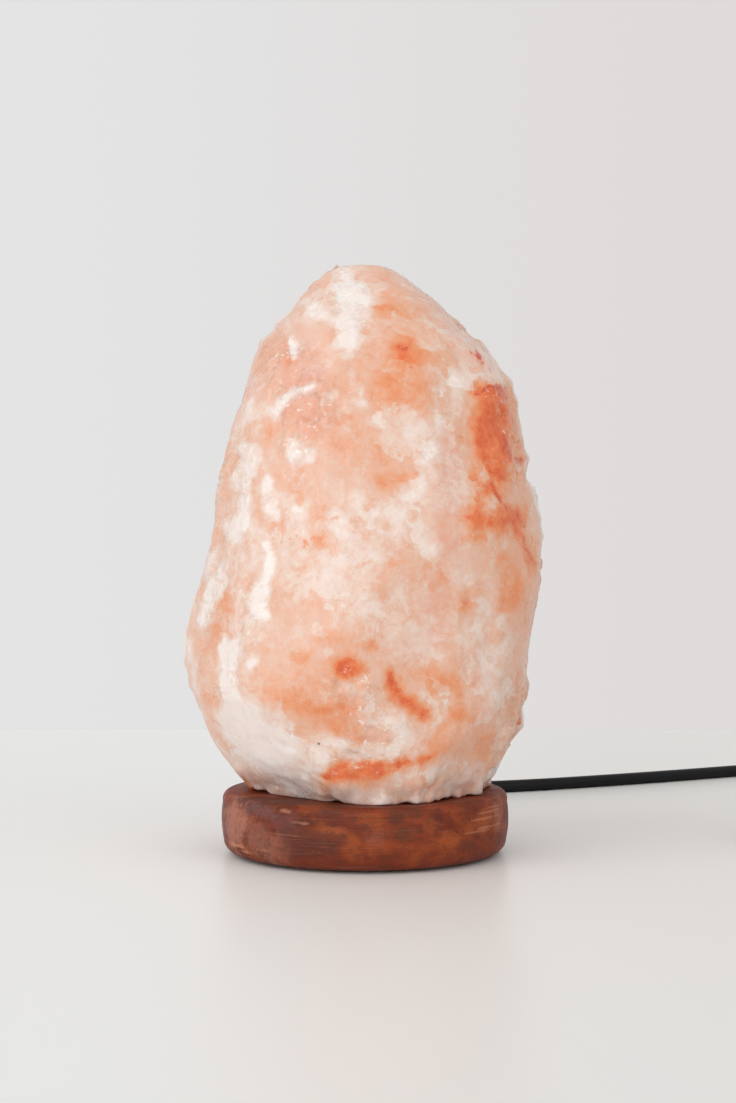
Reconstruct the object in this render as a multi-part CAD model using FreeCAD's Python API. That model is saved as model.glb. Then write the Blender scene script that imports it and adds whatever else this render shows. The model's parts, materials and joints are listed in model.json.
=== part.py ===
import FreeCAD, Part
import math
import os

# Salt crystal lamp, millimetres, +Z up, origin on the table under the middle of the round base.
# The viewer stands on the -Y side, and the cord leaves at the back, on the +Y side.

os.makedirs("parts", exist_ok=True)

# Wooden base
pad_height = 1.0
pad_radius = 6.0
pad_circle = 42.0
base_top = 25.0
base_bulge_radius = 57.5
base_bulge_height = 12.5
base_foot_radius = 52.0
base_rim_radius = 54.6
base_foot_round = [(55.3, 2.6), (56.7, 6.0)]     # through and end of the lower edge's arc
base_rim_round = [(57.0, 21.0), (56.5, 23.7)]    # start and through of the upper edge's arc
well_radius = 20.6          # counterbore under the base that takes the holder's plate
base_bore_radius = 18.0
plate_bottom = 8.0
plate_thickness = 0.8
cord_height = 12.5          # height of the cord's hole through the base
cord_hole_radius = 3.4
bushing_hole_radius = 5.1
bushing_depth = 11.0

# Salt rock: height, then how far it reaches left, right, to the front and to the back
rock_levels = [
    (25.0, 46.0, 48.5, 48.0, 44.0),
    (34.0, 54.0, 54.0, 53.5, 50.5),
    (46.0, 62.4, 61.2, 58.5, 56.0),
    (62.0, 68.6, 65.4, 62.0, 60.5),
    (80.0, 72.4, 66.0, 63.6, 62.6),
    (98.0, 69.6, 68.4, 63.2, 62.8),
    (116.0, 63.4, 70.4, 61.8, 61.6),
    (134.0, 60.2, 70.4, 59.6, 59.0),
    (152.0, 58.2, 65.8, 56.6, 56.0),
    (170.0, 53.8, 63.4, 53.0, 52.0),
    (186.0, 49.0, 60.4, 48.5, 46.5),
    (199.0, 45.2, 52.0, 43.0, 40.0),
    (210.0, 37.6, 40.2, 36.0, 32.5),
    (220.0, 28.2, 30.3, 28.0, 25.0),
    (228.0, 22.4, 20.0, 19.5, 18.5),
    (233.6, 15.0, 13.4, 13.6, 12.6),
    (236.0, 8.6, 6.4, 7.4, 6.6),
]
rock_points_round = 14
rock_fullness = 0.86        # 1 is an ellipse, less is squarer
rock_waves = [(0.034, 3, 0.45), (0.022, 5, -0.6), (0.012, 7, 0.9)]   # size, count round, drift

# Broad chips off the rock: compass angle, tilt up, and distance from the point (0, 0, chip_centre)
chip_centre = 120.0
rock_chips = [
    (226.0, -37.0, 88.0),
    (318.0, -30.0, 87.0),
    (128.0, -34.0, 88.5),
    (40.0, -22.0, 79.0),
    (212.0, 22.0, 76.5),
    (334.0, 30.0, 85.5),
    (52.0, 34.0, 86.0),
    (140.0, 30.0, 81.5),
    (262.0, 48.0, 91.5),
    (286.0, -2.0, 62.6),
]

# Shallow chips: compass angle, height, tilt up, and depth below the level lines
shallow_chips = [
    (208.0, 58.0, -14.0, 1.3),
    (224.0, 94.0, 1.0, 1.7),
    (212.0, 146.0, 9.0, 1.2),
    (244.0, 128.0, 5.0, 1.0),
    (238.0, 182.0, 24.0, 1.2),
    (262.0, 52.0, -20.0, 1.2),
    (284.0, 78.0, -5.0, 1.0),
    (312.0, 108.0, 0.0, 1.2),
    (300.0, 164.0, 15.0, 1.1),
    (330.0, 74.0, -8.0, 1.2),
    (326.0, 140.0, 6.0, 1.1),
    (26.0, 96.0, 0.0, 1.4),
    (48.0, 140.0, 8.0, 1.3),
    (72.0, 68.0, -10.0, 1.4),
    (94.0, 116.0, 3.0, 1.4),
    (108.0, 166.0, 15.0, 1.3),
    (126.0, 82.0, -6.0, 1.3),
    (150.0, 126.0, 6.0, 1.4),
    (155.0, 64.0, -13.0, 1.8),
    (64.0, 186.0, 24.0, 1.2),
]
cavity_radius = 21.0
cavity_top = 106.0
cavity_tip = 4.0            # shallow cone that the drill leaves
rock_screw_circle = 33.0
rock_screw_angles = [60.0, 180.0, 300.0]
rock_screw_radius = 1.75
rock_screw_head_radius = 3.6
rock_screw_tip = 44.0
rock_screw_point = 3.0
screw_slot_width = 0.8
screw_slot_depth = 1.2
rock_plug_radius = 4.0
rock_plug_top = 47.0
fit_gap = 0.1

# Lamp holder
holder_chamber_radius = 12.4
holder_radius = 14.8
holder_roof = 24.0
holder_wall = 2.0
barrel_radius = 9.6
barrel_bore_radius = 7.6
barrel_top = 42.0
cap_bottom = 5.0
cap_radius = 17.0
clip_width = 9.0
clip_sheet = 0.6
cap_screw_place = (9.4, -5.4)
cap_post_radius = 2.4
cap_post_bore = 1.1
cap_post_bore_top = 16.0
cap_recess_radius = 10.5
cap_recess_top = 6.6
clamp_post_radius = 1.9
clamp_post_bore = 0.9
clamp_post_bottom = 14.4
clamp_bar_low = 9.4
clamp_bar_high = 14.3
clamp_screw_place = (6.0, 8.7)
terminal_across = 6.6
terminal_low = 16.0
terminal_high = 21.9
terminal_half_width = 2.2
terminal_half_length = 3.0
wire_radius = 0.8
clip_path = [(16.0, 8.8), (16.0, 30.0), (19.5, 46.0), (19.7, 50.0), (16.6, 60.0)]

# Bulb, small screw base
bulb_tip_bottom = 27.2
cap_foot = 29.6
cap_rim = 43.0
bulb_cap_radius = 5.9
bulb_glass_radius = 11.0
bulb_glass_top = 92.0
glass_wall = 0.7
filament_height = 76.0
filament_reach = 5.5
filament_radius = 0.22
support_radius = 0.25

# Cord and the pieces on it
cord_radius = 3.0
inner_cord_end = 7.0        # where the sheath ends inside the holder
lead_route = [
    (0.0, 57.5, 12.5),
    (0.0, 85.0, 12.5),
    (1.5, 112.0, 4.8),
    (7.5, 138.0, 3.0),
    (22.0, 160.0, 3.0),
    (44.0, 172.0, 3.0),
    (80.0, 183.2, 3.0),
    (112.0, 198.3, 3.0),
    (146.0, 215.6, 3.0),
    (180.0, 234.5, 3.0),
    (204.0, 248.4, 3.0),
    (220.5, 249.9, 3.0),
    (236.0, 244.6, 3.0),
    (247.5, 232.8, 3.0),
    (253.2, 217.2, 4.0),
    (253.5, 199.0, 9.0),
    (253.5, 180.0, 9.0),
]
middle_route = [
    (253.5, 72.0, 9.0),
    (253.5, 60.0, 9.0),
    (254.6, 45.0, 4.9),
    (256.0, 32.5, 3.9),
    (256.0, 26.0, 3.9),
]
tail_route = [
    (252.7, 14.0, 10.5),
    (252.7, -5.0, 10.5),
    (253.3, -24.0, 8.0),
    (253.5, -40.0, 7.5),
]

# Coil: two layers of turns, in and out again
coil_centre = (211.0, 20.0)
coil_pitch = 6.6
coil_start_radius = 45.0
coil_turns_in = 3.0
coil_turns_climb = 0.5
coil_turns_out = 2.5
coil_low = 3.9
coil_rise = 6.6
coil_end_run = 2 * cord_radius
tie_width = 12.0
tie_sheet = 0.8
tie_gap = 0.9

# Dimmer in the cord
dimmer_place = (253.5, 126.0)
dimmer_length = 64.0
dimmer_width = 31.0
dimmer_height = 22.0
dimmer_split = 9.0
dimmer_wall = 2.0
dimmer_corner = 8.0
dimmer_edge = 2.5
wheel_radius = 13.0
wheel_stand_out = 3.0
wheel_low = 11.2
wheel_high = 16.2
wheel_slot_gap = 0.5
wheel_x = dimmer_width / 2 + wheel_stand_out - wheel_radius
wheel_grip_count = 36
wheel_grip_radius = 0.55
shaft_radius = 2.0
running_gap = 0.06
relief_length = 22.0
relief_root_radius = 5.4
relief_tip_radius = 3.9
post_radius = 2.8
post_place = (10.4, 25.6)
board_low = 4.2
board_high = 5.6
board_lead_across = 1.4

# Plug with two flat blades, one wider than the other
plug_place = (253.5, 7.5)   # across and up, at the plug's middle line
plug_relief_end = -40.0
plug_relief_length = 22.0
plug_body_length = 26.0
plug_width = 25.0
plug_height = 15.0
blade_spacing = 12.7
blade_length = 17.5
blade_thickness = 1.5
blade_widths = (6.35, 7.94)
blade_hole_radius = 1.55


def vec(x, y, z):
    return FreeCAD.Vector(x, y, z)


UP = vec(0, 0, 1)


def write(name, solids):
    """Write one node: a solid, or a group of separate solids."""
    group = solids if isinstance(solids, list) else [solids]
    shape = group[0] if len(group) == 1 else Part.makeCompound(group)
    if not shape.isValid():
        print("not valid:", name)
    shape.exportStep("parts/" + name + ".step")
    print(f"{name}: {len(group)} solid(s), {shape.Volume / 1000:.3f} cm3")


def rod(radius, low, high, x=0.0, y=0.0):
    return Part.makeCylinder(radius, high - low, vec(x, y, low))


def rod_between(radius, start, end):
    return Part.makeCylinder(radius, (end - start).Length, start, end - start)


def cone(low_radius, high_radius, low, high, x=0.0, y=0.0):
    return Part.makeCone(low_radius, high_radius, high - low, vec(x, y, low))


def sleeve(outer, inner, low, high, x=0.0, y=0.0):
    return rod(outer, low, high, x, y).cut(rod(inner, low, high, x, y))


def block(low, high):
    return Part.makeBox(high[0] - low[0], high[1] - low[1], high[2] - low[2], vec(*low))


def turned(edges):
    """Turn a closed outline, drawn in the XZ plane, about the Z axis."""
    face = Part.Face(Part.Wire(edges))
    return face.revolve(vec(0, 0, 0), UP, 360)


def line(a, b):
    return Part.LineSegment(a, b).toShape()


def arc(a, b, c):
    return Part.Arc(a, b, c).toShape()


def turned_polygon(outline):
    corners = [vec(radius, 0, height) for radius, height in outline]
    return turned([line(a, b) for a, b in zip(corners, corners[1:] + corners[:1])])


def corner_arc(start, corner, end):
    """The arc from start to end that is tangent to both legs of a corner, which are equal."""
    chord_middle = (start + end) * 0.5
    half = (end - start).Length / 2
    leg = (corner - start).Length
    height = (corner - chord_middle).Length
    sagitta = half * (leg - half) / height
    return arc(start, chord_middle + (corner - chord_middle) * (sagitta / height), end)


def swept(edges, radius):
    """A round tube along edges that run on from each other."""
    path = Part.Wire(edges)
    first = edges[0]
    start = first.valueAt(first.FirstParameter)
    heading = first.tangentAt(first.FirstParameter)
    ring = Part.Wire(Part.Circle(start, heading, radius).toShape())
    tube = path.makePipeShell([ring], True, False)
    expected = math.pi * radius ** 2 * path.Length
    print(f"   tube {path.Length:.1f} long, volume over section times length "
          f"{tube.Volume / expected:.4f}")
    return tube


def rounded_route(points):
    """Straight runs joined by tangent arcs, as large as the two runs allow."""
    corners = [vec(*point) for point in points]
    edges = []
    radii = []
    start = corners[0]
    for before, corner, after in zip(corners, corners[1:], corners[2:]):
        coming = corner - before
        going = after - corner
        trim = 0.45 * min(coming.Length, going.Length)
        radii.append(trim / math.tan(coming.getAngle(going) / 2))
        arc_start = corner - coming.normalize() * trim
        arc_end = corner + going.normalize() * trim
        edges.append(line(start, arc_start))
        edges.append(corner_arc(arc_start, corner, arc_end))
        start = arc_end
    edges.append(line(start, corners[-1]))
    print("   radii", " ".join(f"{radius:.0f}" for radius in radii))
    return edges


# Wooden base, pads and the fixings that hold the rock

def screw_places():
    places = []
    for angle in rock_screw_angles:
        turn = math.radians(angle)
        places.append((rock_screw_circle * math.cos(turn), rock_screw_circle * math.sin(turn)))
    return places


def make_wooden_base():
    foot_through, foot_side = [vec(radius, 0, height) for radius, height in base_foot_round]
    rim_side, rim_through = [vec(radius, 0, height) for radius, height in base_rim_round]
    foot = vec(base_foot_radius, 0, pad_height)
    rim = vec(base_rim_radius, 0, base_top)
    bulge = vec(base_bulge_radius, 0, base_bulge_height)
    shoulder = plate_bottom + plate_thickness
    inner = [
        rim,
        vec(base_bore_radius, 0, base_top),
        vec(base_bore_radius, 0, shoulder),
        vec(well_radius, 0, shoulder),
        vec(well_radius, 0, pad_height),
        foot,
    ]
    edges = [
        arc(foot, foot_through, foot_side),
        arc(foot_side, bulge, rim_side),
        arc(rim_side, rim_through, rim),
    ]
    edges += [line(a, b) for a, b in zip(inner, inner[1:])]
    base = turned(edges)
    cord_way = rod_between(cord_hole_radius, vec(0, 10, cord_height), vec(0, 60, cord_height))
    bushing_way = rod_between(bushing_hole_radius,
                              vec(0, base_bulge_radius - bushing_depth, cord_height),
                              vec(0, base_bulge_radius + 5, cord_height))
    base = base.cut(cord_way).cut(bushing_way)
    for x, y in screw_places():
        base = base.cut(rod(rock_screw_radius + 0.3, 0, base_top + 1, x, y))
        base = base.cut(cone(rock_screw_head_radius + 0.3, rock_screw_radius + 0.3,
                             pad_height, pad_height + 2.6, x, y))
    return base


def make_felt_pads():
    pads = []
    for quarter in range(4):
        turn = math.radians(45 + 90 * quarter)
        pads.append(rod(pad_radius, 0, pad_height,
                        pad_circle * math.cos(turn), pad_circle * math.sin(turn)))
    return pads


def make_rock_screws():
    screws = []
    for x, y in screw_places():
        head = cone(rock_screw_head_radius, rock_screw_radius, 1.4, 3.6, x, y)
        neck = rock_screw_tip - rock_screw_point
        shank = rod(rock_screw_radius, 3.5, neck, x, y)
        point = cone(rock_screw_radius, 0.4, neck, rock_screw_tip, x, y)
        half = screw_slot_width / 2
        slot_top = pad_height + screw_slot_depth
        slot = block((x - 2.2, y - half, pad_height), (x + 2.2, y + half, slot_top))
        cross = block((x - half, y - 2.2, pad_height), (x + half, y + 2.2, slot_top))
        screws.append(head.fuse([shank, point]).cut(slot).cut(cross).removeSplitter())
    return screws


def make_rock_plugs():
    plugs = []
    for x, y in screw_places():
        plug = rod(rock_plug_radius, base_top + fit_gap, rock_plug_top, x, y)
        bore = rod(rock_screw_radius + fit_gap, base_top, rock_screw_tip + 0.5, x, y)
        plugs.append(plug.cut(bore))
    return plugs


# Salt rock

def rock_outline(index, level):
    """One closed level line of the rock: a full oval with shallow waves between its four sides."""
    height, left, right, front, back = level
    points = []
    for step in range(rock_points_round):
        turn = 2 * math.pi * step / rock_points_round
        across = math.cos(turn)
        along = math.sin(turn)
        wave = sum(size * math.sin(count * turn + drift * index)
                   for size, count, drift in rock_waves)
        grow = 1 + wave * math.sin(2 * turn) ** 2
        x = (right if across > 0 else left) * math.copysign(abs(across) ** rock_fullness, across)
        y = (back if along > 0 else front) * math.copysign(abs(along) ** rock_fullness, along)
        points.append(vec(x * grow, y * grow, height))
    curve = Part.BSplineCurve()
    curve.interpolate(points, PeriodicFlag=True)
    return Part.Wire(curve.toShape())


def rock_reach(compass, height):
    """How far the rock reaches from the middle, at a height and in a direction."""
    turn = math.radians(compass)
    for lower, upper in zip(rock_levels, rock_levels[1:]):
        if lower[0] <= height <= upper[0]:
            share = (height - lower[0]) / (upper[0] - lower[0])
            left, right, front, back = [a + share * (b - a) for a, b in zip(lower[1:], upper[1:])]
    across = abs(math.cos(turn)) / (right if math.cos(turn) > 0 else left)
    along = abs(math.sin(turn)) / (back if math.sin(turn) > 0 else front)
    power = 2 / rock_fullness
    return (across ** power + along ** power) ** (-1 / power)


def direction(compass, tilt):
    turn = math.radians(compass)
    rise = math.radians(tilt)
    return vec(math.cos(turn) * math.cos(rise), math.sin(turn) * math.cos(rise), math.sin(rise))


def chip_off(rock, place, outward):
    """Cut the rock flat at a place, square to a direction."""
    slab = Part.makeBox(300, 300, 60)
    slab.translate(vec(-150, -150, 0))
    turned_up = FreeCAD.Placement(place, FreeCAD.Rotation(UP, outward))
    slab.Placement = turned_up.multiply(slab.Placement)
    return rock.cut(slab)


def make_salt_crystal():
    rock = Part.makeLoft([rock_outline(i, level) for i, level in enumerate(rock_levels)],
                         True, False)
    for compass, tilt, distance in rock_chips:
        outward = direction(compass, tilt)
        rock = chip_off(rock, vec(0, 0, chip_centre) + outward * distance, outward)
    for compass, height, tilt, depth in shallow_chips:
        outward = direction(compass, tilt)
        skin = direction(compass, 0) * rock_reach(compass, height) + vec(0, 0, height)
        rock = chip_off(rock, skin - outward * depth, outward)
    hole = rod(cavity_radius, base_top - 5, cavity_top)
    tip = cone(cavity_radius, 6.0, cavity_top, cavity_top + cavity_tip)
    rock = rock.cut(hole.fuse(tip).removeSplitter())
    for x, y in screw_places():
        rock = rock.cut(rod(rock_plug_radius + fit_gap, base_top - 5, rock_plug_top + 1, x, y))
    return rock


# Lamp holder

def mirrored(place):
    return [(-place[0], place[1]), place]


def make_holder_body():
    floor = plate_bottom + plate_thickness
    outline = [
        (holder_chamber_radius, floor),
        (holder_radius, floor),
        (holder_radius, holder_roof),
        (barrel_radius, holder_roof),
        (barrel_radius, barrel_top),
        (barrel_bore_radius, barrel_top),
        (barrel_bore_radius, holder_roof),
        (4.0, holder_roof),
        (4.0, holder_roof - holder_wall),
        (holder_chamber_radius, holder_roof - holder_wall),
    ]
    body = turned_polygon(outline)
    entry = rod_between(cord_radius + 0.2, vec(0, 8, cord_height), vec(0, 20, cord_height))
    body = body.cut(entry)
    ceiling = holder_roof - holder_wall
    chamber = rod(holder_chamber_radius + 0.5, floor, ceiling)
    for x, y in mirrored(cap_screw_place):
        post = rod(cap_post_radius, floor, ceiling, x, y)
        post = post.cut(rod(cap_post_bore, floor, cap_post_bore_top, x, y))
        body = body.fuse(post.common(chamber))
    for x, y in mirrored(clamp_screw_place):
        post = rod(clamp_post_radius, clamp_post_bottom, ceiling, x, y)
        post = post.cut(rod(clamp_post_bore, clamp_post_bottom, ceiling - holder_wall, x, y))
        body = body.fuse(post.common(chamber))
    return body.removeSplitter()


def make_holder_clip():
    """Spring sheet: a flat ring under the shoulder, and two bowed arms that grip the rock's bore."""
    ring = sleeve(well_radius - 0.4, holder_chamber_radius, plate_bottom,
                  plate_bottom + plate_thickness)
    clip = ring
    for side in (-1, 1):
        inner = [vec(side * x, -clip_width / 2, z) for x, z in clip_path]
        outer = [point + vec(side * clip_sheet, 0, 0) for point in reversed(inner)]
        corners = inner + outer
        edges = [line(a, b) for a, b in zip(corners, corners[1:] + corners[:1])]
        arm = Part.Face(Part.Wire(edges)).extrude(vec(0, clip_width, 0))
        clip = clip.fuse(arm)
    for x, y in mirrored(cap_screw_place):
        clip = clip.cut(rod(1.3, plate_bottom - 1, plate_bottom + 2, x, y))
    return clip.removeSplitter()


def make_bottom_cap():
    cap = rod(cap_radius, cap_bottom, plate_bottom)
    recess = rod(cap_recess_radius, cap_recess_top, plate_bottom)
    keep = [rod(3.2, cap_bottom, plate_bottom, x, y) for x, y in mirrored(cap_screw_place)]
    cap = cap.cut(recess).fuse(keep)
    for x, y in mirrored(cap_screw_place):
        cap = cap.cut(rod(1.3, cap_bottom - 1, plate_bottom + 1, x, y))
        cap = cap.cut(rod(2.3, cap_bottom - 1, cap_bottom + 1.4, x, y))
    return cap.removeSplitter()


def make_cap_screws():
    screws = []
    for x, y in mirrored(cap_screw_place):
        head = rod(2.1, cap_bottom, cap_bottom + 1.4, x, y)
        shank = rod(1.0, cap_bottom + 1.4, cap_post_bore_top - 0.5, x, y)
        slot = block((x - 1.6, y - 0.3, cap_bottom), (x + 1.6, y + 0.3, cap_bottom + 0.6))
        screws.append(head.fuse(shank).cut(slot).removeSplitter())
    return screws


def make_screw_shell():
    shell = sleeve(6.5, bulb_cap_radius + fit_gap, holder_roof + 0.4, 40.0)
    foot = sleeve(7.4, 5.0, holder_roof, holder_roof + 0.4)
    return shell.fuse(foot).removeSplitter()


def make_centre_contact():
    """Brass strip: flat on the chamber's roof, then bent up under the bulb's tip."""
    profile = [(-3.4, 24.0), (-3.4, 24.5), (1.0, 24.9), (2.4, 27.0), (-1.6, 27.0), (-1.6, 26.6),
               (1.7, 26.6), (0.7, 25.3), (-3.8, 24.9), (-3.8, 24.0)]
    corners = [vec(x, -2.2, z) for x, z in profile]
    edges = [line(a, b) for a, b in zip(corners, corners[1:] + corners[:1])]
    return Part.Face(Part.Wire(edges)).extrude(vec(0, 4.4, 0))


def make_terminals():
    """Two brass blocks in the chamber that take the wires."""
    terminals = []
    for x in (-terminal_across, terminal_across):
        body = block((x - terminal_half_width, -terminal_half_length, terminal_low),
                     (x + terminal_half_width, terminal_half_length, terminal_high))
        body = body.cut(rod(1.1, terminal_low - 1, 20.0, x, -0.8))
        body = body.cut(rod_between(0.95, vec(x, 0.4, 18.4), vec(x, 4, 18.4)))
        terminals.append(body)
    return terminals


def make_terminal_screws():
    screws = []
    for x in (-terminal_across, terminal_across):
        head = rod(1.9, 14.5, 15.9, x, -0.8)
        shank = rod(1.0, 15.9, 19.6, x, -0.8)
        slot = block((x - 2, -1.05, 14.5), (x + 2, -0.55, 15.1))
        screws.append(head.fuse(shank).cut(slot).removeSplitter())
    return screws


def make_clamp_bar():
    bar = block((-8.2, 7.1, clamp_bar_low), (8.2, 10.4, clamp_bar_high))
    bar = bar.cut(rod_between(cord_radius + 0.05, vec(0, 6, cord_height), vec(0, 12, cord_height)))
    bar = bar.cut(block((-cord_radius - 0.05, 7, cord_height), (cord_radius + 0.05, 11, 15)))
    for x, y in mirrored(clamp_screw_place):
        bar = bar.cut(rod(1.0, 9.0, 15.0, x, y))
    return bar.common(rod(holder_chamber_radius - 0.2, 9.0, 15.0))


def make_clamp_screws():
    screws = []
    for x, y in mirrored(clamp_screw_place):
        head = rod(1.7, 9.0, 9.35, x, y)
        shank = rod(0.85, 9.35, 18.5, x, y)
        screws.append(head.fuse(shank).removeSplitter())
    return screws


def make_wire(side):
    """One insulated wire, from the end of the cord's sheath to its terminal."""
    route = [
        (side * 1.5, inner_cord_end, cord_height),
        (side * 1.5, inner_cord_end - 1.6, cord_height),
        (side * 3.6, 5.0, 15.4),
        (side * 6.0, 5.2, 17.9),
        (side * terminal_across, 4.4, 18.4),
        (side * terminal_across, 3.1, 18.4),
    ]
    return swept(rounded_route(route), wire_radius)


# Bulb

def make_bulb_glass():
    def outline(inset):
        neck = 5.2 - inset
        side = bulb_glass_radius - inset
        top = bulb_glass_top - inset
        foot = cap_rim - 8.0
        dome = top - side
        return [
            line(vec(0, 0, foot), vec(neck, 0, foot)),
            line(vec(neck, 0, foot), vec(neck, 0, cap_rim + 1.0)),
            arc(vec(neck, 0, cap_rim + 1.0), vec(neck + 0.62 * (side - neck), 0, cap_rim + 5.0),
                vec(side, 0, cap_rim + 12.0)),
            line(vec(side, 0, cap_rim + 12.0), vec(side, 0, dome)),
            arc(vec(side, 0, dome), vec(side * math.sqrt(0.5), 0, dome + side * math.sqrt(0.5)),
                vec(0, 0, top)),
            line(vec(0, 0, top), vec(0, 0, foot)),
        ]
    return turned(outline(0)).cut(turned(outline(glass_wall)))


def make_bulb_cap():
    return turned_polygon([
        (bulb_cap_radius - 0.4, cap_foot + 1.0),
        (4.2, cap_foot),
        (4.6, cap_foot),
        (bulb_cap_radius, cap_foot + 1.0),
        (bulb_cap_radius, cap_rim - 1.0),
        (bulb_cap_radius + 0.5, cap_rim),
        (bulb_cap_radius - 0.1, cap_rim),
        (bulb_cap_radius - 0.4, cap_rim - 1.0),
    ])


def make_bulb_insulator():
    return turned_polygon([
        (2.1, bulb_tip_bottom + 1.0),
        (3.0, bulb_tip_bottom + 1.0),
        (4.1, cap_foot),
        (4.1, cap_foot + 1.4),
        (2.1, cap_foot + 1.4),
    ])


def make_bulb_contact():
    return turned_polygon([
        (0, bulb_tip_bottom),
        (1.4, bulb_tip_bottom),
        (2.4, bulb_tip_bottom + 0.9),
        (2.0, bulb_tip_bottom + 0.9),
        (2.0, cap_foot + 1.0),
        (0, cap_foot + 1.0),
    ])


def make_bulb_stem():
    return turned_polygon([
        (0, cap_rim - 7.0),
        (4.3, cap_rim - 7.0),
        (3.0, cap_rim - 3.0),
        (1.6, cap_rim + 2.0),
        (1.6, cap_rim + 12.0),
        (2.2, cap_rim + 14.0),
        (0, cap_rim + 15.0),
    ])


def make_filament_supports():
    wires = []
    for side in (-1, 1):
        route = [
            (side * 0.8, 0, cap_rim + 15.0),
            (side * 0.9, 0, cap_rim + 18.0),
            (side * filament_reach, 0, filament_height - 8.0),
            (side * filament_reach, 0, filament_height),
        ]
        wires.append(swept(rounded_route(route), support_radius))
    return wires


def make_filament():
    route = [
        (-filament_reach, 0, filament_height + 0.3),
        (-filament_reach * 0.6, 0, filament_height + 1.8),
        (0, 0, filament_height + 2.2),
        (filament_reach * 0.6, 0, filament_height + 1.8),
        (filament_reach, 0, filament_height + 0.3),
    ]
    return swept(rounded_route(route), filament_radius)


# Cord

def make_cord_inner():
    return rod_between(cord_radius, vec(0, inner_cord_end, cord_height), vec(*lead_route[0]))


def make_cord_bushing():
    """Rubber bushing: a neck in the base's hole, then a taper round the cord."""
    face = base_bulge_radius
    outline = [
        (cord_radius + 0.08, face - bushing_depth + 0.5),
        (bushing_hole_radius - fit_gap, face - bushing_depth + 0.5),
        (bushing_hole_radius - fit_gap, face + 0.2),
        (6.4, face + 0.4),
        (6.4, face + 2.0),
        (5.2, face + 2.6),
        (3.9, face + 15.0),
        (cord_radius + 0.08, face + 15.0),
    ]
    bushing = turned_polygon(outline)
    bushing.rotate(vec(0, 0, 0), vec(1, 0, 0), -90)
    bushing.translate(vec(0, 0, cord_height))
    return bushing


def coil_place(turns):
    """A point of the coil's middle line, after so many turns, clockwise from its right side."""
    reversal = turns - coil_turns_in
    if reversal < 0:
        radius = coil_start_radius - coil_pitch * turns
        height = coil_low
    elif reversal < coil_turns_climb:
        inner = coil_start_radius - coil_pitch * coil_turns_in
        share = reversal / coil_turns_climb
        radius = inner - coil_pitch * reversal * (1 - share)
        height = coil_low + coil_rise * share ** 2 * (3 - 2 * share)
    else:
        inner = coil_start_radius - coil_pitch * coil_turns_in
        radius = inner + coil_pitch * (reversal - coil_turns_climb)
        height = coil_low + coil_rise
    turn = -2 * math.pi * turns
    return vec(coil_centre[0] + radius * math.cos(turn),
               coil_centre[1] + radius * math.sin(turn), height)


def coil_heading(turns):
    step = 0.0005
    heading = coil_place(turns + step) - coil_place(turns - step)
    return heading.normalize()


def biarc(start, start_heading, end, end_heading):
    """Two tangent arcs from one point and heading to another."""
    chord = end - start
    headings = start_heading + end_heading
    square = 2 * (1 - start_heading.dot(end_heading))
    middle = 2 * chord.dot(headings)
    reach = (math.sqrt(middle ** 2 + 4 * square * chord.dot(chord)) - middle) / (2 * square)
    first_corner = start + start_heading * reach
    second_corner = end - end_heading * reach
    joint = (first_corner + second_corner) * 0.5
    return [corner_arc(start, first_corner, joint), corner_arc(joint, second_corner, end)]


def least_self_gap(edges, turn_length):
    """The least clear space between turns of a tube, from points along its middle line."""
    spacing = 3.0
    points = []
    for edge in edges:
        points += edge.discretize(Distance=spacing)[:-1]
    apart = int(0.6 * turn_length / spacing)
    least = min((a - b).Length for i, a in enumerate(points) for b in points[i + apart:])
    return least - 2 * cord_radius


def make_cord_coil():
    total = coil_turns_in + coil_turns_climb + coil_turns_out
    back = vec(0, -1, 0)
    stations = [quarter / 4 for quarter in range(int(total * 4) + 1)]
    places = [coil_place(station) for station in stations]
    headings = [back] + [coil_heading(station) for station in stations[1:-1]] + [back]
    edges = [line(places[0] - back * coil_end_run, places[0])]
    for index in range(len(stations) - 1):
        edges += biarc(places[index], headings[index], places[index + 1], headings[index + 1])
    edges.append(line(places[-1], places[-1] + back * coil_end_run))
    inner_turn = 2 * math.pi * (coil_start_radius - coil_pitch * coil_turns_in)
    print(f"   coil least self gap {least_self_gap(edges, inner_turn):.2f}")
    return swept(edges, cord_radius)


def make_coil_tie():
    """A flat strap round all the turns, on the coil's far side from where it starts."""
    outer_turn = coil_start_radius - coil_pitch / 2
    inner_turn = coil_start_radius - coil_pitch * coil_turns_in
    outer_x = coil_centre[0] - outer_turn - cord_radius - tie_gap
    inner_x = coil_centre[0] - inner_turn + cord_radius + 2 * tie_gap
    high = coil_low + coil_rise + cord_radius + 0.3
    y = coil_centre[1]
    outside = block((outer_x - tie_sheet, y - tie_width / 2, 0),
                    (inner_x + tie_sheet, y + tie_width / 2, high + tie_sheet))
    inside = block((outer_x, y - tie_width, tie_sheet), (inner_x, y + tie_width, high))
    outside = outside.makeFillet(2.0, [edge for edge in outside.Edges if edge.Length == tie_width])
    inside = inside.makeFillet(1.2, [edge for edge in inside.Edges if edge.Length == 2 * tie_width])
    buckle = block((outer_x + 6, y - tie_width / 2 - 1, high + tie_sheet),
                   (outer_x + 17, y + tie_width / 2 + 1, high + tie_sheet + 1.6))
    return outside.cut(inside).fuse(buckle).removeSplitter()


# Dimmer

def dimmer_box(low, high):
    """A box given about the dimmer's middle line and its underside."""
    x, y = dimmer_place
    return block((x + low[0], y + low[1], low[2]), (x + high[0], y + high[1], high[2]))


def dimmer_rod(radius, low, high, x, y):
    return rod(radius, low, high, dimmer_place[0] + x, dimmer_place[1] + y)


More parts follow.
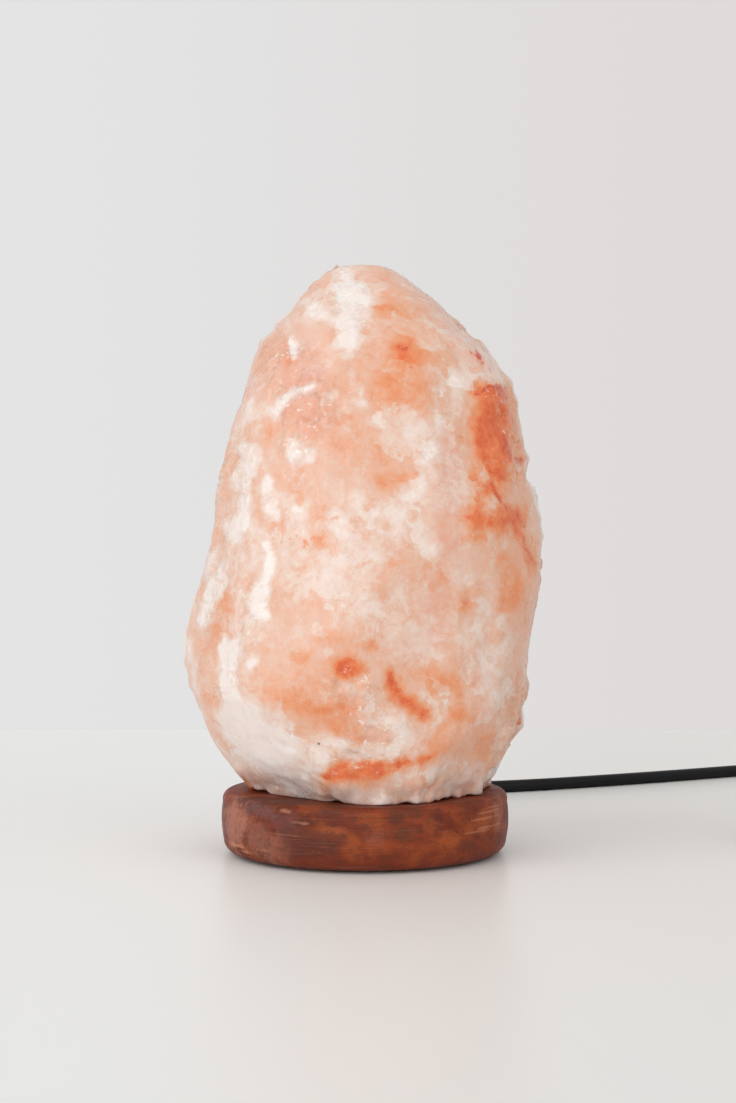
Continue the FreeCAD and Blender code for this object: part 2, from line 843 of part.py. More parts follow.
def rounded_case(inset):
    half_width = dimmer_width / 2 - inset
    half_length = dimmer_length / 2 - inset
    case = dimmer_box((-half_width, -half_length, inset),
                      (half_width, half_length, dimmer_height - inset))
    upright = [edge for edge in case.Edges if abs(edge.tangentAt(0).z) > 0.9]
    case = case.makeFillet(dimmer_corner - inset, upright)
    if inset == 0:
        flat = [edge for edge in case.Edges
                if abs(edge.BoundBox.ZMax - edge.BoundBox.ZMin) < 0.01]
        case = case.makeFillet(dimmer_edge, flat)
    return case


def dimmer_shells():
    case = rounded_case(0).cut(rounded_case(dimmer_wall))
    for end in (-1, 1):
        start = vec(dimmer_place[0], dimmer_place[1] + end * (dimmer_length / 2 - 6), dimmer_split)
        case = case.cut(rod_between(4.3, start, start + vec(0, end * 12, 0)))
    lower_half = dimmer_box((-40, -60, -5), (40, 60, dimmer_split))
    top = case.cut(lower_half)
    bottom = case.common(lower_half)
    slot = dimmer_rod(wheel_radius + 1.0, wheel_low - wheel_slot_gap, wheel_high + wheel_slot_gap,
                      wheel_x, 0)
    top = top.cut(slot)
    top = top.fuse(dimmer_rod(4.2, wheel_high + 0.8, dimmer_height - 1, wheel_x, 0))
    top = top.cut(dimmer_rod(shaft_radius + running_gap, wheel_high, dimmer_height - 2.4,
                             wheel_x, 0))
    for side in (-1, 1):
        for end in (-1, 1):
            x, y = side * post_place[0], end * post_place[1]
            top = top.fuse(dimmer_rod(post_radius, dimmer_split, dimmer_height - 1, x, y))
            top = top.cut(dimmer_rod(1.1, dimmer_split - 1, dimmer_height - 4, x, y))
            bottom = bottom.fuse(dimmer_rod(post_radius + 0.6, 1, dimmer_split, x, y))
            bottom = bottom.cut(dimmer_rod(1.35, -1, dimmer_split + 1, x, y))
            bottom = bottom.cut(dimmer_rod(2.5, -1, 4.0, x, y))
    return top.removeSplitter(), bottom.removeSplitter()


def make_dimmer_screws():
    screws = []
    for side in (-1, 1):
        for end in (-1, 1):
            x, y = side * post_place[0], end * post_place[1]
            head = dimmer_rod(2.3, 2.4, 4.0, x, y)
            shank = dimmer_rod(1.0, 4.0, 15.5, x, y)
            slot = dimmer_box((x - 1.8, y - 0.35, 2.4), (x + 1.8, y + 0.35, 3.1))
            screws.append(head.fuse(shank).cut(slot).removeSplitter())
    return screws


def make_dimmer_wheel():
    wheel = dimmer_rod(wheel_radius, wheel_low, wheel_high, wheel_x, 0)
    rims = [edge for edge in wheel.Edges if edge.Length > 3 * wheel_radius]
    wheel = wheel.makeChamfer(0.6, rims)
    grooves = []
    for index in range(wheel_grip_count):
        turn = 2 * math.pi * index / wheel_grip_count
        grooves.append(dimmer_rod(wheel_grip_radius, wheel_low - 1, wheel_high + 1,
                                  wheel_x + (wheel_radius + 0.15) * math.cos(turn),
                                  (wheel_radius + 0.15) * math.sin(turn)))
    wheel = wheel.cut(grooves)
    return wheel.cut(dimmer_rod(shaft_radius, wheel_low - 1, wheel_high + 1, wheel_x, 0))


def make_wheel_shaft():
    shaft = dimmer_rod(shaft_radius, 6.4, dimmer_height - 2.6, wheel_x, 0)
    collar = dimmer_rod(3.2, wheel_low - 0.9, wheel_low, wheel_x, 0)
    return shaft.fuse(collar).removeSplitter()


def make_circuit_board():
    return dimmer_box((-12.0, -21.5, board_low), (12.0, 21.5, board_high))


def make_board_components():
    """Potentiometer, capacitor, switch chip with its fin, coil former and two small resistors."""
    pot = dimmer_rod(6.4, board_high, 9.8, wheel_x, 0)
    pot = pot.cut(dimmer_rod(shaft_radius + running_gap, 6.0, 12.0, wheel_x, 0))
    capacitor = dimmer_box((-10.5, -20.5, board_high), (2.5, -15.0, 15.0))
    chip = dimmer_box((-10.5, 15.6, board_high), (-1.0, 19.6, 10.6))
    fin = dimmer_box((-10.5, 19.6, board_high), (-1.0, 20.8, 15.6))
    choke = dimmer_rod(4.0, board_high, 10.4, 6.0, 16.0)
    resistors = [dimmer_box((-11.0, y, board_high), (-8.6, y + 6.0, 8.0)) for y in (-9.0, 2.0)]
    return [pot, capacitor, chip.fuse(fin).removeSplitter(), choke] + resistors


def make_board_leads():
    """Stripped ends of the cord's wires, from each strain relief to the board."""
    leads = []
    for end in (-1, 1):
        for side in (-1, 1):
            x = dimmer_place[0] + side * board_lead_across
            y = dimmer_place[1]
            route = [
                (x, y + end * 26.4, dimmer_split),
                (x, y + end * 24.6, dimmer_split),
                (x, y + end * 22.9, 7.6),
                (x, y + end * 21.2, 6.5),
            ]
            leads.append(swept(rounded_route(route), 0.7))
    return leads


def make_dimmer_relief(end):
    """Tapered rubber sleeve with a flange inside the case's end wall."""
    wall = dimmer_length / 2
    inner = cord_radius + 0.08
    outline = [
        (0, wall - 5.0),
        (6.0, wall - 5.0),
        (6.0, wall - dimmer_wall - 0.15),
        (4.2, wall - dimmer_wall - 0.15),
        (4.2, wall),
        (relief_root_radius, wall + 0.1),
        (relief_root_radius, wall + 2.0),
        (relief_tip_radius, wall + relief_length),
        (0, wall + relief_length),
    ]
    relief = turned_polygon(outline)
    relief = relief.cut(rod(inner, wall + relief_length - 6.0, wall + relief_length + 1))
    for groove in range(4):
        low = wall + 5.0 + 3.4 * groove
        relief = relief.cut(sleeve(8, relief_tip_radius - 0.1, low, low + 1.2))
    relief.rotate(vec(0, 0, 0), vec(1, 0, 0), -90)
    if end < 0:
        relief.rotate(vec(0, 0, 0), UP, 180)
    relief.translate(vec(dimmer_place[0], dimmer_place[1], dimmer_split))
    for side in (-1, 1):
        x = dimmer_place[0] + side * board_lead_across
        near = vec(x, dimmer_place[1] + end * (wall - 6.0), dimmer_split)
        relief = relief.cut(rod_between(0.8, near, near + vec(0, end * 4, 0)))
    return relief


# Plug

def make_plug_body():
    x, z = plug_place
    high = plug_relief_end - plug_relief_length
    low = high - plug_body_length
    back_section = [plug_width / 2 - 4.5, plug_height / 2 - 1.8]
    face_section = [plug_width / 2, plug_height / 2]

    def outline(y, half_width, half_height, corner):
        wire = []
        corners = [(1, 1), (-1, 1), (-1, -1), (1, -1)]
        centres = [(sx * (half_width - corner), sz * (half_height - corner)) for sx, sz in corners]
        ends = []
        for (cx, cz), quarter in zip(centres, range(4)):
            start = math.radians(90 * quarter)
            arc_points = []
            for share in (0, 0.5, 1):
                turn = start + share * math.pi / 2
                arc_points.append(vec(x + cx + corner * math.cos(turn), y,
                                      z + cz + corner * math.sin(turn)))
            ends.append(arc_points)
        for index in range(4):
            wire.append(arc(*ends[index]))
            wire.append(line(ends[index][2], ends[(index + 1) % 4][0]))
        return Part.Wire(wire)

    sections = [
        outline(high, back_section[0], back_section[1], 4.0),
        outline(high - 8, face_section[0] - 1.0, face_section[1] - 0.3, 4.2),
        outline(low + 6, face_section[0], face_section[1], 4.2),
        outline(low, face_section[0] - 0.6, face_section[1] - 0.6, 3.8),
    ]
    body = Part.makeLoft(sections, True, True)
    for groove in range(4):
        y = high - 9.5 - 2.6 * groove
        for side in (-1, 1):
            cutter = block((x + side * (plug_width / 2 + 0.6) - 1.6, y - 0.6, z - 4.5),
                           (x + side * (plug_width / 2 + 0.6) + 1.6, y + 0.6, z + 4.5))
            body = body.cut(cutter)
    for side in (-1, 1):
        width = blade_widths[0] if side < 0 else blade_widths[1]
        middle = x + side * blade_spacing / 2
        body = body.cut(block((middle - blade_thickness / 2, low - 1, z - width / 2),
                              (middle + blade_thickness / 2, low + 8, z + width / 2)))
    return body


def make_plug_blades():
    x, z = plug_place
    face = plug_relief_end - plug_relief_length - plug_body_length
    blades = []
    for side in (-1, 1):
        width = blade_widths[0] if side < 0 else blade_widths[1]
        middle = x + side * blade_spacing / 2
        blade = block((middle - blade_thickness / 2, face - blade_length, z - width / 2),
                      (middle + blade_thickness / 2, face + 8, z + width / 2))
        tips = [edge for edge in blade.Edges
                if abs(edge.tangentAt(0).x) > 0.9 and edge.CenterOfMass.y < face - 5]
        blade = blade.makeChamfer(1.2, tips)
        hole = rod_between(blade_hole_radius, vec(middle - 3, face - blade_length + 4.0, z),
                           vec(middle + 3, face - blade_length + 4.0, z))
        blades.append(blade.cut(hole))
    return blades


def make_plug_relief():
    x, z = plug_place
    outline = [
        (0, 0.0),
        (4.9, 0.0),
        (4.9, 2.0),
        (3.9, plug_relief_length),
        (0, plug_relief_length),
    ]
    relief = turned_polygon(outline)
    relief = relief.cut(rod(cord_radius + 0.08, plug_relief_length - 6, plug_relief_length + 1))
    for groove in range(4):
        low = 4.6 + 3.4 * groove
        relief = relief.cut(sleeve(8, 3.8, low, low + 1.2))
    relief.rotate(vec(0, 0, 0), vec(1, 0, 0), -90)
    relief.translate(vec(x, plug_relief_end - plug_relief_length, z))
    return relief


write("wooden_base", make_wooden_base())
write("felt_pads", make_felt_pads())
write("rock_screws", make_rock_screws())
write("rock_plugs", make_rock_plugs())
write("salt_crystal", make_salt_crystal())
write("holder_body", make_holder_body())
write("holder_clip", make_holder_clip())
write("holder_bottom_cap", make_bottom_cap())
write("cap_screws", make_cap_screws())
write("screw_shell", make_screw_shell())
write("centre_contact", make_centre_contact())
write("terminals", make_terminals())
write("terminal_screws", make_terminal_screws())
write("cord_clamp_bar", make_clamp_bar())
write("clamp_screws", make_clamp_screws())
write("live_wire", make_wire(-1))
write("neutral_wire", make_wire(1))
write("bulb_glass", make_bulb_glass())
write("bulb_cap", make_bulb_cap())
write("bulb_insulator", make_bulb_insulator())
write("bulb_contact", make_bulb_contact())
write("bulb_stem", make_bulb_stem())
write("filament_supports", make_filament_supports())
write("filament", make_filament())
write("cord_inner", make_cord_inner())
write("cord_bushing", make_cord_bushing())
write("cord_lead", swept(rounded_route(lead_route), cord_radius))
write("cord_middle", swept(rounded_route(middle_route), cord_radius))
write("cord_coil", make_cord_coil())
write("cord_tail", swept(rounded_route(tail_route), cord_radius))
write("coil_tie", make_coil_tie())
dimmer_top, dimmer_bottom = dimmer_shells()
write("dimmer_top_shell", dimmer_top)
write("dimmer_bottom_shell", dimmer_bottom)
write("dimmer_screws", make_dimmer_screws())
write("dimmer_wheel", make_dimmer_wheel())
write("dimmer_wheel_shaft", make_wheel_shaft())
write("dimmer_circuit_board", make_circuit_board())
write("dimmer_components", make_board_components())
write("dimmer_board_leads", make_board_leads())
write("dimmer_relief_lamp_side", make_dimmer_relief(1))
write("dimmer_relief_plug_side", make_dimmer_relief(-1))
write("plug_body", make_plug_body())
write("plug_strain_relief", make_plug_relief())
write("plug_blades", make_plug_blades())
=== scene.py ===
import bpy
import bmesh
import json
import math
import random
import numpy as np
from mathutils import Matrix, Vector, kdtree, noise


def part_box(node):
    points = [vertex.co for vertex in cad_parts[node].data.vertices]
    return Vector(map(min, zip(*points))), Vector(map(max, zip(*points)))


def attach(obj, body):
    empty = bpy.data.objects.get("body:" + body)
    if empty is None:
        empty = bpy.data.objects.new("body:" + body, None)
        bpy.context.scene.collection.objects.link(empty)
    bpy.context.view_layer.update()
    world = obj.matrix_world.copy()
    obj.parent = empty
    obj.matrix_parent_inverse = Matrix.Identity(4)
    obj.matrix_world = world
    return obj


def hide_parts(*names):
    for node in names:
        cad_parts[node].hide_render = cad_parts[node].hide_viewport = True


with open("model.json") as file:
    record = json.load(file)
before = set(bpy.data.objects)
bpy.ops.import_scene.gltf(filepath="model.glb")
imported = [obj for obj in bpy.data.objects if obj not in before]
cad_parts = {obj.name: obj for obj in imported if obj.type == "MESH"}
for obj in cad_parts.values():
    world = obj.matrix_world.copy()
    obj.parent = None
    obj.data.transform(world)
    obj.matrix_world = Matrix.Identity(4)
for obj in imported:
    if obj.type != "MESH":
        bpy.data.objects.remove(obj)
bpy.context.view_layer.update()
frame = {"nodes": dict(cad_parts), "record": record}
scene = bpy.context.scene
scene.view_settings.view_transform = "Standard"
print("frame loaded,", len(frame["nodes"]), "nodes")


# camera, level with the middle of the lamp

view = {
    "place": (0.0012, -0.740, 0.1205),
    "lens": 60.0, "longSide": 36.0,        # in mm
    "nearest": 0.01,
    "width": 736, "height": 1103,
    "focal": 1839.0,           # the same lens in pixels
}


def addObject(name, data):
    thing = bpy.data.objects.new(name, data)
    scene.collection.objects.link(thing)
    return thing


def makeCamera():
    data = bpy.data.cameras.new("camera")
    data.lens = view["lens"]
    data.sensor_width = view["longSide"]
    data.clip_start = view["nearest"]
    camera = addObject("camera", data)
    camera.location = view["place"]
    camera.rotation_euler = (math.radians(90), 0, 0)
    scene.camera = camera


def fromPixel(u, v, depth=0.0):
    # the point seen at a pixel of the photograph, on the upright plane y = depth
    reach = (depth - view["place"][1]) / view["focal"]
    x = view["place"][0] + (u - view["width"] / 2) * reach
    z = view["place"][2] - (v - view["height"] / 2) * reach
    return Vector((x, depth, z))


def toPixel(points):
    # points is an array of places, one row each
    reach = points[:, 1] - view["place"][1]
    u = view["width"] / 2 + view["focal"] * (points[:, 0] - view["place"][0]) / reach
    v = view["height"] / 2 - view["focal"] * (points[:, 2] - view["place"][2]) / reach
    return u, v


makeCamera()
print("camera set")


# small helpers: nodes are added to the material or world that is being made

making = {"tree": None, "shader": None}


def paint(colour):
    # three numbers are a colour as it looks on screen, 0 to 255, and four are linear already
    def linear(c):
        c = c / 255
        return c / 12.92 if c <= 0.04045 else ((c + 0.055) / 1.055) ** 2.4
    return colour if len(colour) == 4 else tuple(linear(c) for c in colour) + (1.0,)


def setSocket(socket, value):
    if isinstance(value, bpy.types.NodeSocket):
        making["tree"].links.new(value, socket)
    else:
        socket.default_value = paint(value) if socket.type == "RGBA" else value


def addNode(kind, inputs=None, **settings):
    node = making["tree"].nodes.new("ShaderNode" + kind)
    for name, value in settings.items():
        setattr(node, name, value)
    for socket, value in (inputs or {}).items():
        setSocket(node.inputs[socket], value)
    return node


def feed(**inputs):
    # values or nodes' outputs for the shader's own sockets
    for socket, value in inputs.items():
        setSocket(making["shader"].inputs[socket.replace("_", " ")], value)


def startMaterial(name, **inputs):
    mat = bpy.data.materials.new(name)
    mat.use_nodes = True
    making["tree"] = mat.node_tree
    making["shader"] = mat.node_tree.nodes["Principled BSDF"]
    feed(**inputs)
    return mat


def objectPlace(scale=(1, 1, 1), shift=(0, 0, 0)):
    place = addNode("TexCoord").outputs["Object"]
    return addNode("Mapping", {"Vector": place, "Scale": scale, "Location": shift}).outputs[0]


def noiseAt(vector, scale, detail=4.0, rough=0.55, warp=0.0):
    return addNode("TexNoise", {"Vector": vector, "Scale": scale, "Detail": detail,
                                "Roughness": rough, "Distortion": warp}).outputs["Fac"]


def ramp(value, *stops):
    node = addNode("ValToRGB", {"Fac": value})
    band = node.color_ramp
    while len(band.elements) < len(stops):
        band.elements.new(0.5)
    for element, (at, colour) in zip(band.elements, stops):
        element.position = at
        element.color = paint(colour)
    return node.outputs["Color"]


def blendColour(amount, first, second, mode="MIX"):
    return addNode("Mix", {0: amount, 6: first, 7: second}, data_type="RGBA",
                   blend_type=mode).outputs[2]


def calc(kind, first, second, clamp=False):
    return addNode("Math", {0: first, 1: second}, operation=kind, use_clamp=clamp).outputs[0]


def times(first, second):
    return calc("MULTIPLY", first, second)


def total(result, *values):
    for value in values:
        result = calc("ADD", result, value)
    return result


def weighed(*parts):
    # a sum of values, each times its weight
    return total(*(times(value, weight) for value, weight in parts))


def swing(value, size):
    # noise about 0.5 made a change up and down about nothing
    return times(calc("SUBTRACT", value, 0.5), size)


def stirred(value, *swings):
    # a value that noises push up and down, each as strongly as it says
    return total(value, *(swing(noisy, size) for noisy, size in swings))


def vectorCalc(kind, inputs, output=0):
    return addNode("VectorMath", inputs, operation=kind).outputs[output]


def between(value, low, high, toLow=0.0, toHigh=1.0):
    return addNode("MapRange", {"Value": value, "From Min": low, "From Max": high,
                                "To Min": toLow, "To Max": toHigh},
                   interpolation_type="SMOOTHSTEP").outputs["Result"]


def layColours(body, colours, *layers):
    # each layer: its pattern, where it starts and is full, how strong it gets, its colour
    for pattern, low, high, most, name in layers:
        body = blendColour(between(pattern, low, high, 0, most), body, colours[name])
    return body


def bump(height, strength, distance):
    return addNode("Bump", {"Height": height, "Strength": strength,
                            "Distance": distance}).outputs["Normal"]


def pieceFrom(name, mesh, material, body="root"):
    mesh.materials.clear()
    mesh.materials.append(material)
    piece = addObject(name, mesh)
    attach(piece, body)
    return piece


def fromBmesh(name, form, material, smooth=True):
    mesh = bpy.data.meshes.new(name)
    bmesh.ops.recalc_face_normals(form, faces=form.faces)
    form.to_mesh(mesh)
    form.free()
    for face in mesh.polygons:
        face.use_smooth = smooth
    return pieceFrom(name, mesh, material)


# plain mouldings and metals

def mouldedMaterial(name, colour, rough, grain=900.0, lift=0.00005, coat=0.0):
    # moulded plastic or rubber: faint mottling, a fine spark-eroded grain
    mat = startMaterial(name, Coat_Weight=coat, Specular_IOR_Level=0.5)
    place = objectPlace()
    dark = tuple(c * 0.8 for c in paint(colour)[:3]) + (1,)
    light = tuple(min(1, c * 1.2 + 0.002) for c in paint(colour)[:3]) + (1,)
    fine = noiseAt(place, grain, 2)
    feed(Base_Color=ramp(noiseAt(place, 60, 3), (0.3, dark), (0.7, light)),
         Roughness=between(fine, 0.2, 0.8, rough - 0.06, rough + 0.08),
         Normal=bump(fine, 0.35, lift))
    return mat


def metalMaterial(name, colour, rough, stretch=(1, 1, 14)):
    mat = startMaterial(name, Metallic=1.0)
    streak = noiseAt(objectPlace(stretch), 220, 4)
    tarnish = noiseAt(objectPlace(), 90, 5)
    dull = tuple(c * 0.72 for c in paint(colour)[:3]) + (1,)
    feed(Base_Color=ramp(tarnish, (0.35, dull), (0.62, colour)),
         Roughness=between(streak, 0.25, 0.75, rough - 0.08, rough + 0.12),
         Normal=bump(streak, 0.2, 0.00004))
    return mat


def glassMaterial(name, colour, rough=0.02):
    mat = startMaterial(name, Transmission_Weight=1.0, IOR=1.47, Base_Color=colour)
    wave = noiseAt(objectPlace(), 70, 2)
    feed(Roughness=between(wave, 0.3, 0.7, rough, rough + 0.03), Normal=bump(wave, 0.05, 0.0002))
    return mat


def boardMaterial():
    mat = startMaterial("boardLaminate", Roughness=0.5)
    fibre = noiseAt(objectPlace((1, 6, 1)), 260, 4)
    feed(Base_Color=ramp(fibre, (0.3, (140, 104, 62)), (0.7, (176, 138, 88))))
    return mat


def feltMaterial():
    mat = startMaterial("feltPressed", Roughness=0.95, Sheen_Weight=0.4)
    fibre = noiseAt(objectPlace(), 1400, 5, 0.7)
    feed(Base_Color=ramp(fibre, (0.3, (40, 34, 33)), (0.7, (74, 66, 64))),
         Normal=bump(fibre, 0.7, 0.0003))
    return mat


def strapMaterial():
    # woven strap: ribs across, yarns along
    mat = startMaterial("strapWeave", Roughness=0.85, Sheen_Weight=0.25)
    place = objectPlace()
    ribs = addNode("TexWave", {"Vector": place, "Scale": 300.0, "Distortion": 0.6},
                   bands_direction="Y").outputs["Fac"]
    weave = weighed((ribs, 0.6), (noiseAt(place, 1500, 3), 0.4))
    feed(Base_Color=ramp(weave, (0.25, (18, 18, 19)), (0.75, (46, 46, 48))),
         Normal=bump(weave, 0.6, 0.0003))
    return mat


def cordMaterial():
    mat = startMaterial("cordSheath", Specular_IOR_Level=0.2)
    place = objectPlace()
    scuff = noiseAt(place, 700, 3)
    feed(Base_Color=ramp(noiseAt(place, 45, 4), (0.3, (9, 9, 11)), (0.7, (16, 16, 18))),
         Roughness=between(scuff, 0.2, 0.8, 0.34, 0.54), Normal=bump(scuff, 0.25, 0.00006))
    return mat


finishes = {
    "steel": metalMaterial("zincSteel", (178, 178, 180), 0.34),
    "brass": metalMaterial("brassBright", (214, 178, 108), 0.28),
    "brass_plated": metalMaterial("bladePlated", (208, 200, 176), 0.24, (1, 14, 1)),
    "white_plastic": mouldedMaterial("nylonPale", (222, 220, 214), 0.5),
    "black_plastic": mouldedMaterial("caseBlack", (26, 26, 28), 0.38, coat=0.15),
    "soft_black": mouldedMaterial("vinylBlack", (22, 22, 24), 0.5, 700.0, 0.00008),
    "wheel_plastic": mouldedMaterial("wheelGrey", (64, 64, 67), 0.42),
    "wire_sleeve": mouldedMaterial("wireBrown", (128, 78, 50), 0.45),
    "component_plastic": mouldedMaterial("partRed", (150, 62, 44), 0.42),
    "insulator_glass": mouldedMaterial("beadDark", (28, 22, 34), 0.15, coat=0.6),
    "bulb_glass": glassMaterial("bulbClear", (252, 250, 246)),
    "circuit_board": boardMaterial(),
    "felt": feltMaterial(),
    "tie_fabric": strapMaterial(),
    "cord_sheath": cordMaterial(),
}
print("small finishes made")


# cords: the lamp's lead to the dimmer, then on to the coil and the plug

# the routes' points and all measures of the coil and the strap are in mm
cordRoutes = {
    "radius": 3,
    "lead": [
        (0, 57.5, 12.5), (0, 85, 12.5), (1.5, 112, 4.8), (7.5, 138, 3),
        (22, 160, 3), (44, 172, 3), (80, 183.2, 3), (112, 198.3, 3),
        (146, 215.6, 3), (180, 234.5, 3), (204, 248.4, 3), (220.5, 249.9, 3),
        (236, 244.6, 3), (247.5, 232.8, 3), (253.2, 217.2, 4), (253.5, 199, 9),
        (253.5, 180, 9),
    ],
    "middle": [
        (253.5, 72, 9), (253.5, 60, 9), (254.6, 45, 4.9), (256, 32.5, 3.9),
        (256, 26, 3.9),
    ],
    "tail": [
        (252.7, 14, 10.5), (252.7, -5, 10.5), (253.3, -24, 8), (253.5, -40, 7.5),
    ],
}
coil = {
    "centre": (211.0, 20.0), "pitch": 6.6, "start": 45.0, "turnsIn": 3.0, "climb": 0.5,
    "turnsOut": 2.5, "low": 3.9, "rise": 6.6, "perTurn": 24,
}


def coilPlace(turns):
    past = turns - coil["turnsIn"]
    inner = coil["start"] - coil["pitch"] * coil["turnsIn"]
    if past < 0:
        radius = coil["start"] - coil["pitch"] * turns
        height = coil["low"]
    elif past < coil["climb"]:
        share = past / coil["climb"]
        radius = inner - coil["pitch"] * past * (1 - share)
        height = coil["low"] + coil["rise"] * share ** 2 * (3 - 2 * share)
    else:
        radius = inner + coil["pitch"] * (past - coil["climb"])
        height = coil["low"] + coil["rise"]
    turn = -2 * math.pi * turns
    return (coil["centre"][0] + radius * math.cos(turn),
            coil["centre"][1] + radius * math.sin(turn), height)


def makeCord(name, places):
    curve = bpy.data.curves.new(name, "CURVE")
    curve.dimensions = "3D"
    spline = curve.splines.new("NURBS")
    spline.points.add(len(places) - 1)
    for point, place in zip(spline.points, places):
        point.co = [c / 1000 for c in place] + [1]
    spline.order_u = 3
    spline.use_endpoint_u = True
    spline.resolution_u = 8
    curve.bevel_depth = cordRoutes["radius"] / 1000
    curve.bevel_resolution = 5
    curve.use_fill_caps = True
    curve.materials.append(finishes["cord_sheath"])
    cord = addObject(name, curve)
    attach(cord, "root")
    return cord


def makeCords():
    lead = makeCord("lampCord", cordRoutes["lead"])
    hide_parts("cord_lead")
    steps = int((coil["turnsIn"] + coil["climb"] + coil["turnsOut"]) * coil["perTurn"])
    turns = [coilPlace(step / coil["perTurn"]) for step in range(steps + 1)]
    flex = makeCord("plugCord", cordRoutes["middle"] + turns + cordRoutes["tail"])
    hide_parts("cord_middle", "cord_coil", "cord_tail")
    return lead, flex


lampCord, plugCord = makeCords()
print("cords laid")


# strap round the coil, and the buckle it closes on

strap = {
    "clear": 0.9,              # between the strap and the turns
    "sheet": 0.8, "width": 12.0,
    "lift": 0.3,               # over the upper turns
    "corner": 1.3,             # radius of its bends
    "cuts": 5, "rows": 6,      # divisions along the runs and across the width
    "buckle": (10.5, 13.8, 1.5), "buckleAt": (11.5, 0.78), "buckleEdge": 0.5,
}


def makeStrap():
    outerTurn = coil["start"] - coil["pitch"] / 2
    innerTurn = coil["start"] - coil["pitch"] * coil["turnsIn"]
    left = (coil["centre"][0] - outerTurn - cordRoutes["radius"] - strap["clear"]) / 1000
    right = (coil["centre"][0] - innerTurn + cordRoutes["radius"] + 2 * strap["clear"]) / 1000
    high = (coil["low"] + coil["rise"] + cordRoutes["radius"] + strap["lift"]) / 1000
    sheet = strap["sheet"] / 1000
    front = (coil["centre"][1] - strap["width"] / 2) / 1000
    width = strap["width"] / 1000
    form = bmesh.new()
    corners = [(left, front, sheet), (right, front, sheet), (right, front, high),
               (left, front, high)]
    verts = [form.verts.new(corner) for corner in corners]
    for first, second in zip(verts, verts[1:] + verts[:1]):
        form.edges.new((first, second))
    bmesh.ops.bevel(form, geom=verts, offset=strap["corner"] / 1000, segments=5, profile=0.5,
                    material=-1, affect="VERTICES")
    runs = [e for e in form.edges if e.calc_length() > 0.006]
    bmesh.ops.subdivide_edges(form, edges=runs, cuts=strap["cuts"], use_grid_fill=False)
    for step in range(strap["rows"]):
        edgeAt = front + width * step / strap["rows"]
        ring = [e for e in form.edges if all(abs(v.co.y - edgeAt) < 1e-6 for v in e.verts)]
        grown = bmesh.ops.extrude_edge_only(form, edges=ring)["geom"]
        moved = [g for g in grown if isinstance(g, bmesh.types.BMVert)]
        bmesh.ops.translate(form, verts=moved, vec=(0, width / strap["rows"], 0))
    bmesh.ops.recalc_face_normals(form, faces=form.faces)
    centre = Vector(((left + right) / 2, 0, (sheet + high) / 2))
    outwards = 0
    for face in form.faces:
        gap = face.calc_center_median() - centre
        outwards += face.normal.x * gap.x + face.normal.z * gap.z > 0
    if outwards < len(form.faces) / 2:
        bmesh.ops.reverse_faces(form, faces=form.faces)
    bmesh.ops.solidify(form, geom=form.faces[:], thickness=-sheet * 0.94)
    piece = fromBmesh("coilStrap", form, finishes["tie_fabric"])
    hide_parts("coil_tie")
    along, above = strap["buckleAt"]
    buckle = bmesh.new()
    bmesh.ops.create_cube(buckle, size=1.0)
    bmesh.ops.scale(buckle, verts=buckle.verts, vec=[side / 1000 for side in strap["buckle"]])
    bmesh.ops.translate(buckle, verts=buckle.verts,
                        vec=(left + along / 1000, front + width / 2, high + sheet + above / 1000))
    bmesh.ops.bevel(buckle, geom=buckle.edges[:], offset=strap["buckleEdge"] / 1000, segments=3,
                    profile=0.5, material=-1, affect="EDGES")
    clasp = fromBmesh("coilBuckle", buckle, finishes["black_plastic"], smooth=False)
    return piece, clasp


coilStrap, coilBuckle = makeStrap()
print("strap made")


# salt rock

rock = {
    "voxel": 0.00121,
    "soften": 60,              # rounds of smoothing over the chips' edges
    "sink": 0.0007,            # how far the mean surface lies inside the solid
    "lumps": [(0.034, 0.0006, 5), (0.013, 0.0004, 6)],       # size, height, seed
    # size, tilt, step between neighbours, seed
    "flakes": [(0.0105, 0.10, 0.00042, 3), (0.0052, 0.10, 0.00026, 5),
               (0.0028, 0.10, 0.00014, 8)],
    "leastFlakes": 0.08,       # how much of them shows where the surface isn't broken
    "flakeLift": 0.0005,       # how far a white flake stands up
    "flakeLiftAt": (0.75, 1.1),       # the white mark's strength where that starts and is full
    # upright ribs down the right-hand side, and grit all over: size, height, seed
    "ribs": (0.0045, 0.00022, 9), "ribStretch": 0.14, "ribsFrom": (0.010, 0.035),
    "grit": (0.0032, 0.00012, 13),
    "swells": [(-40, -38, 42, 19, 2.4), (-22, -50, 36, 14, 1.0)],   # x, y, z, reach, height, mm
    "pixel": 0.00041,          # metres to a pixel at the outline
    "nickDepth": 0.020,        # how far a nick runs towards the front and the back
    "boxGap": 0.0001,          # kept clear inside the solid's own box
    # the underside and the holes stay as the solid has them
    "underside": 0.0262, "skin": (0.0252, 0.0285),
    "bore": (0.0225, 0.1125),  # radius and top
    "screws": {"angles": (60, 180, 300), "circle": 0.033, "radius": 0.0056, "top": 0.05},
    # how far the bottom edge steps in and out, and lifts, and the heights and radii between
    # which that sets in
    "rim": 0.0030, "rimBand": (0.0385, 0.0255), "rimFrom": (0.036, 0.043),
    "rimLift": 0.0011, "liftFrom": (0.0385, 0.0445),
    # marks: pixels that one fades over at softness 1, and is widened by
    "fade": {"white": 15.0, "orange": 21.0, "rust": 11.0, "pink": 24.0, "broken": 15.0},
    "spread": {"white": 2.0, "rust": 0.5},
    "overlap": 0.3,            # how much of the weaker of two marks is added
    "ragged": [(5.0, 0.016, 21), (2.5, 0.0042, 23)],         # pixels, size, seed
    "facing": (0.02, 0.18), "frontUpTo": 0.03,     # where the marks give way to the sides
    "sidePlates": 0.4,         # how far the material's plates stand round the sides
}

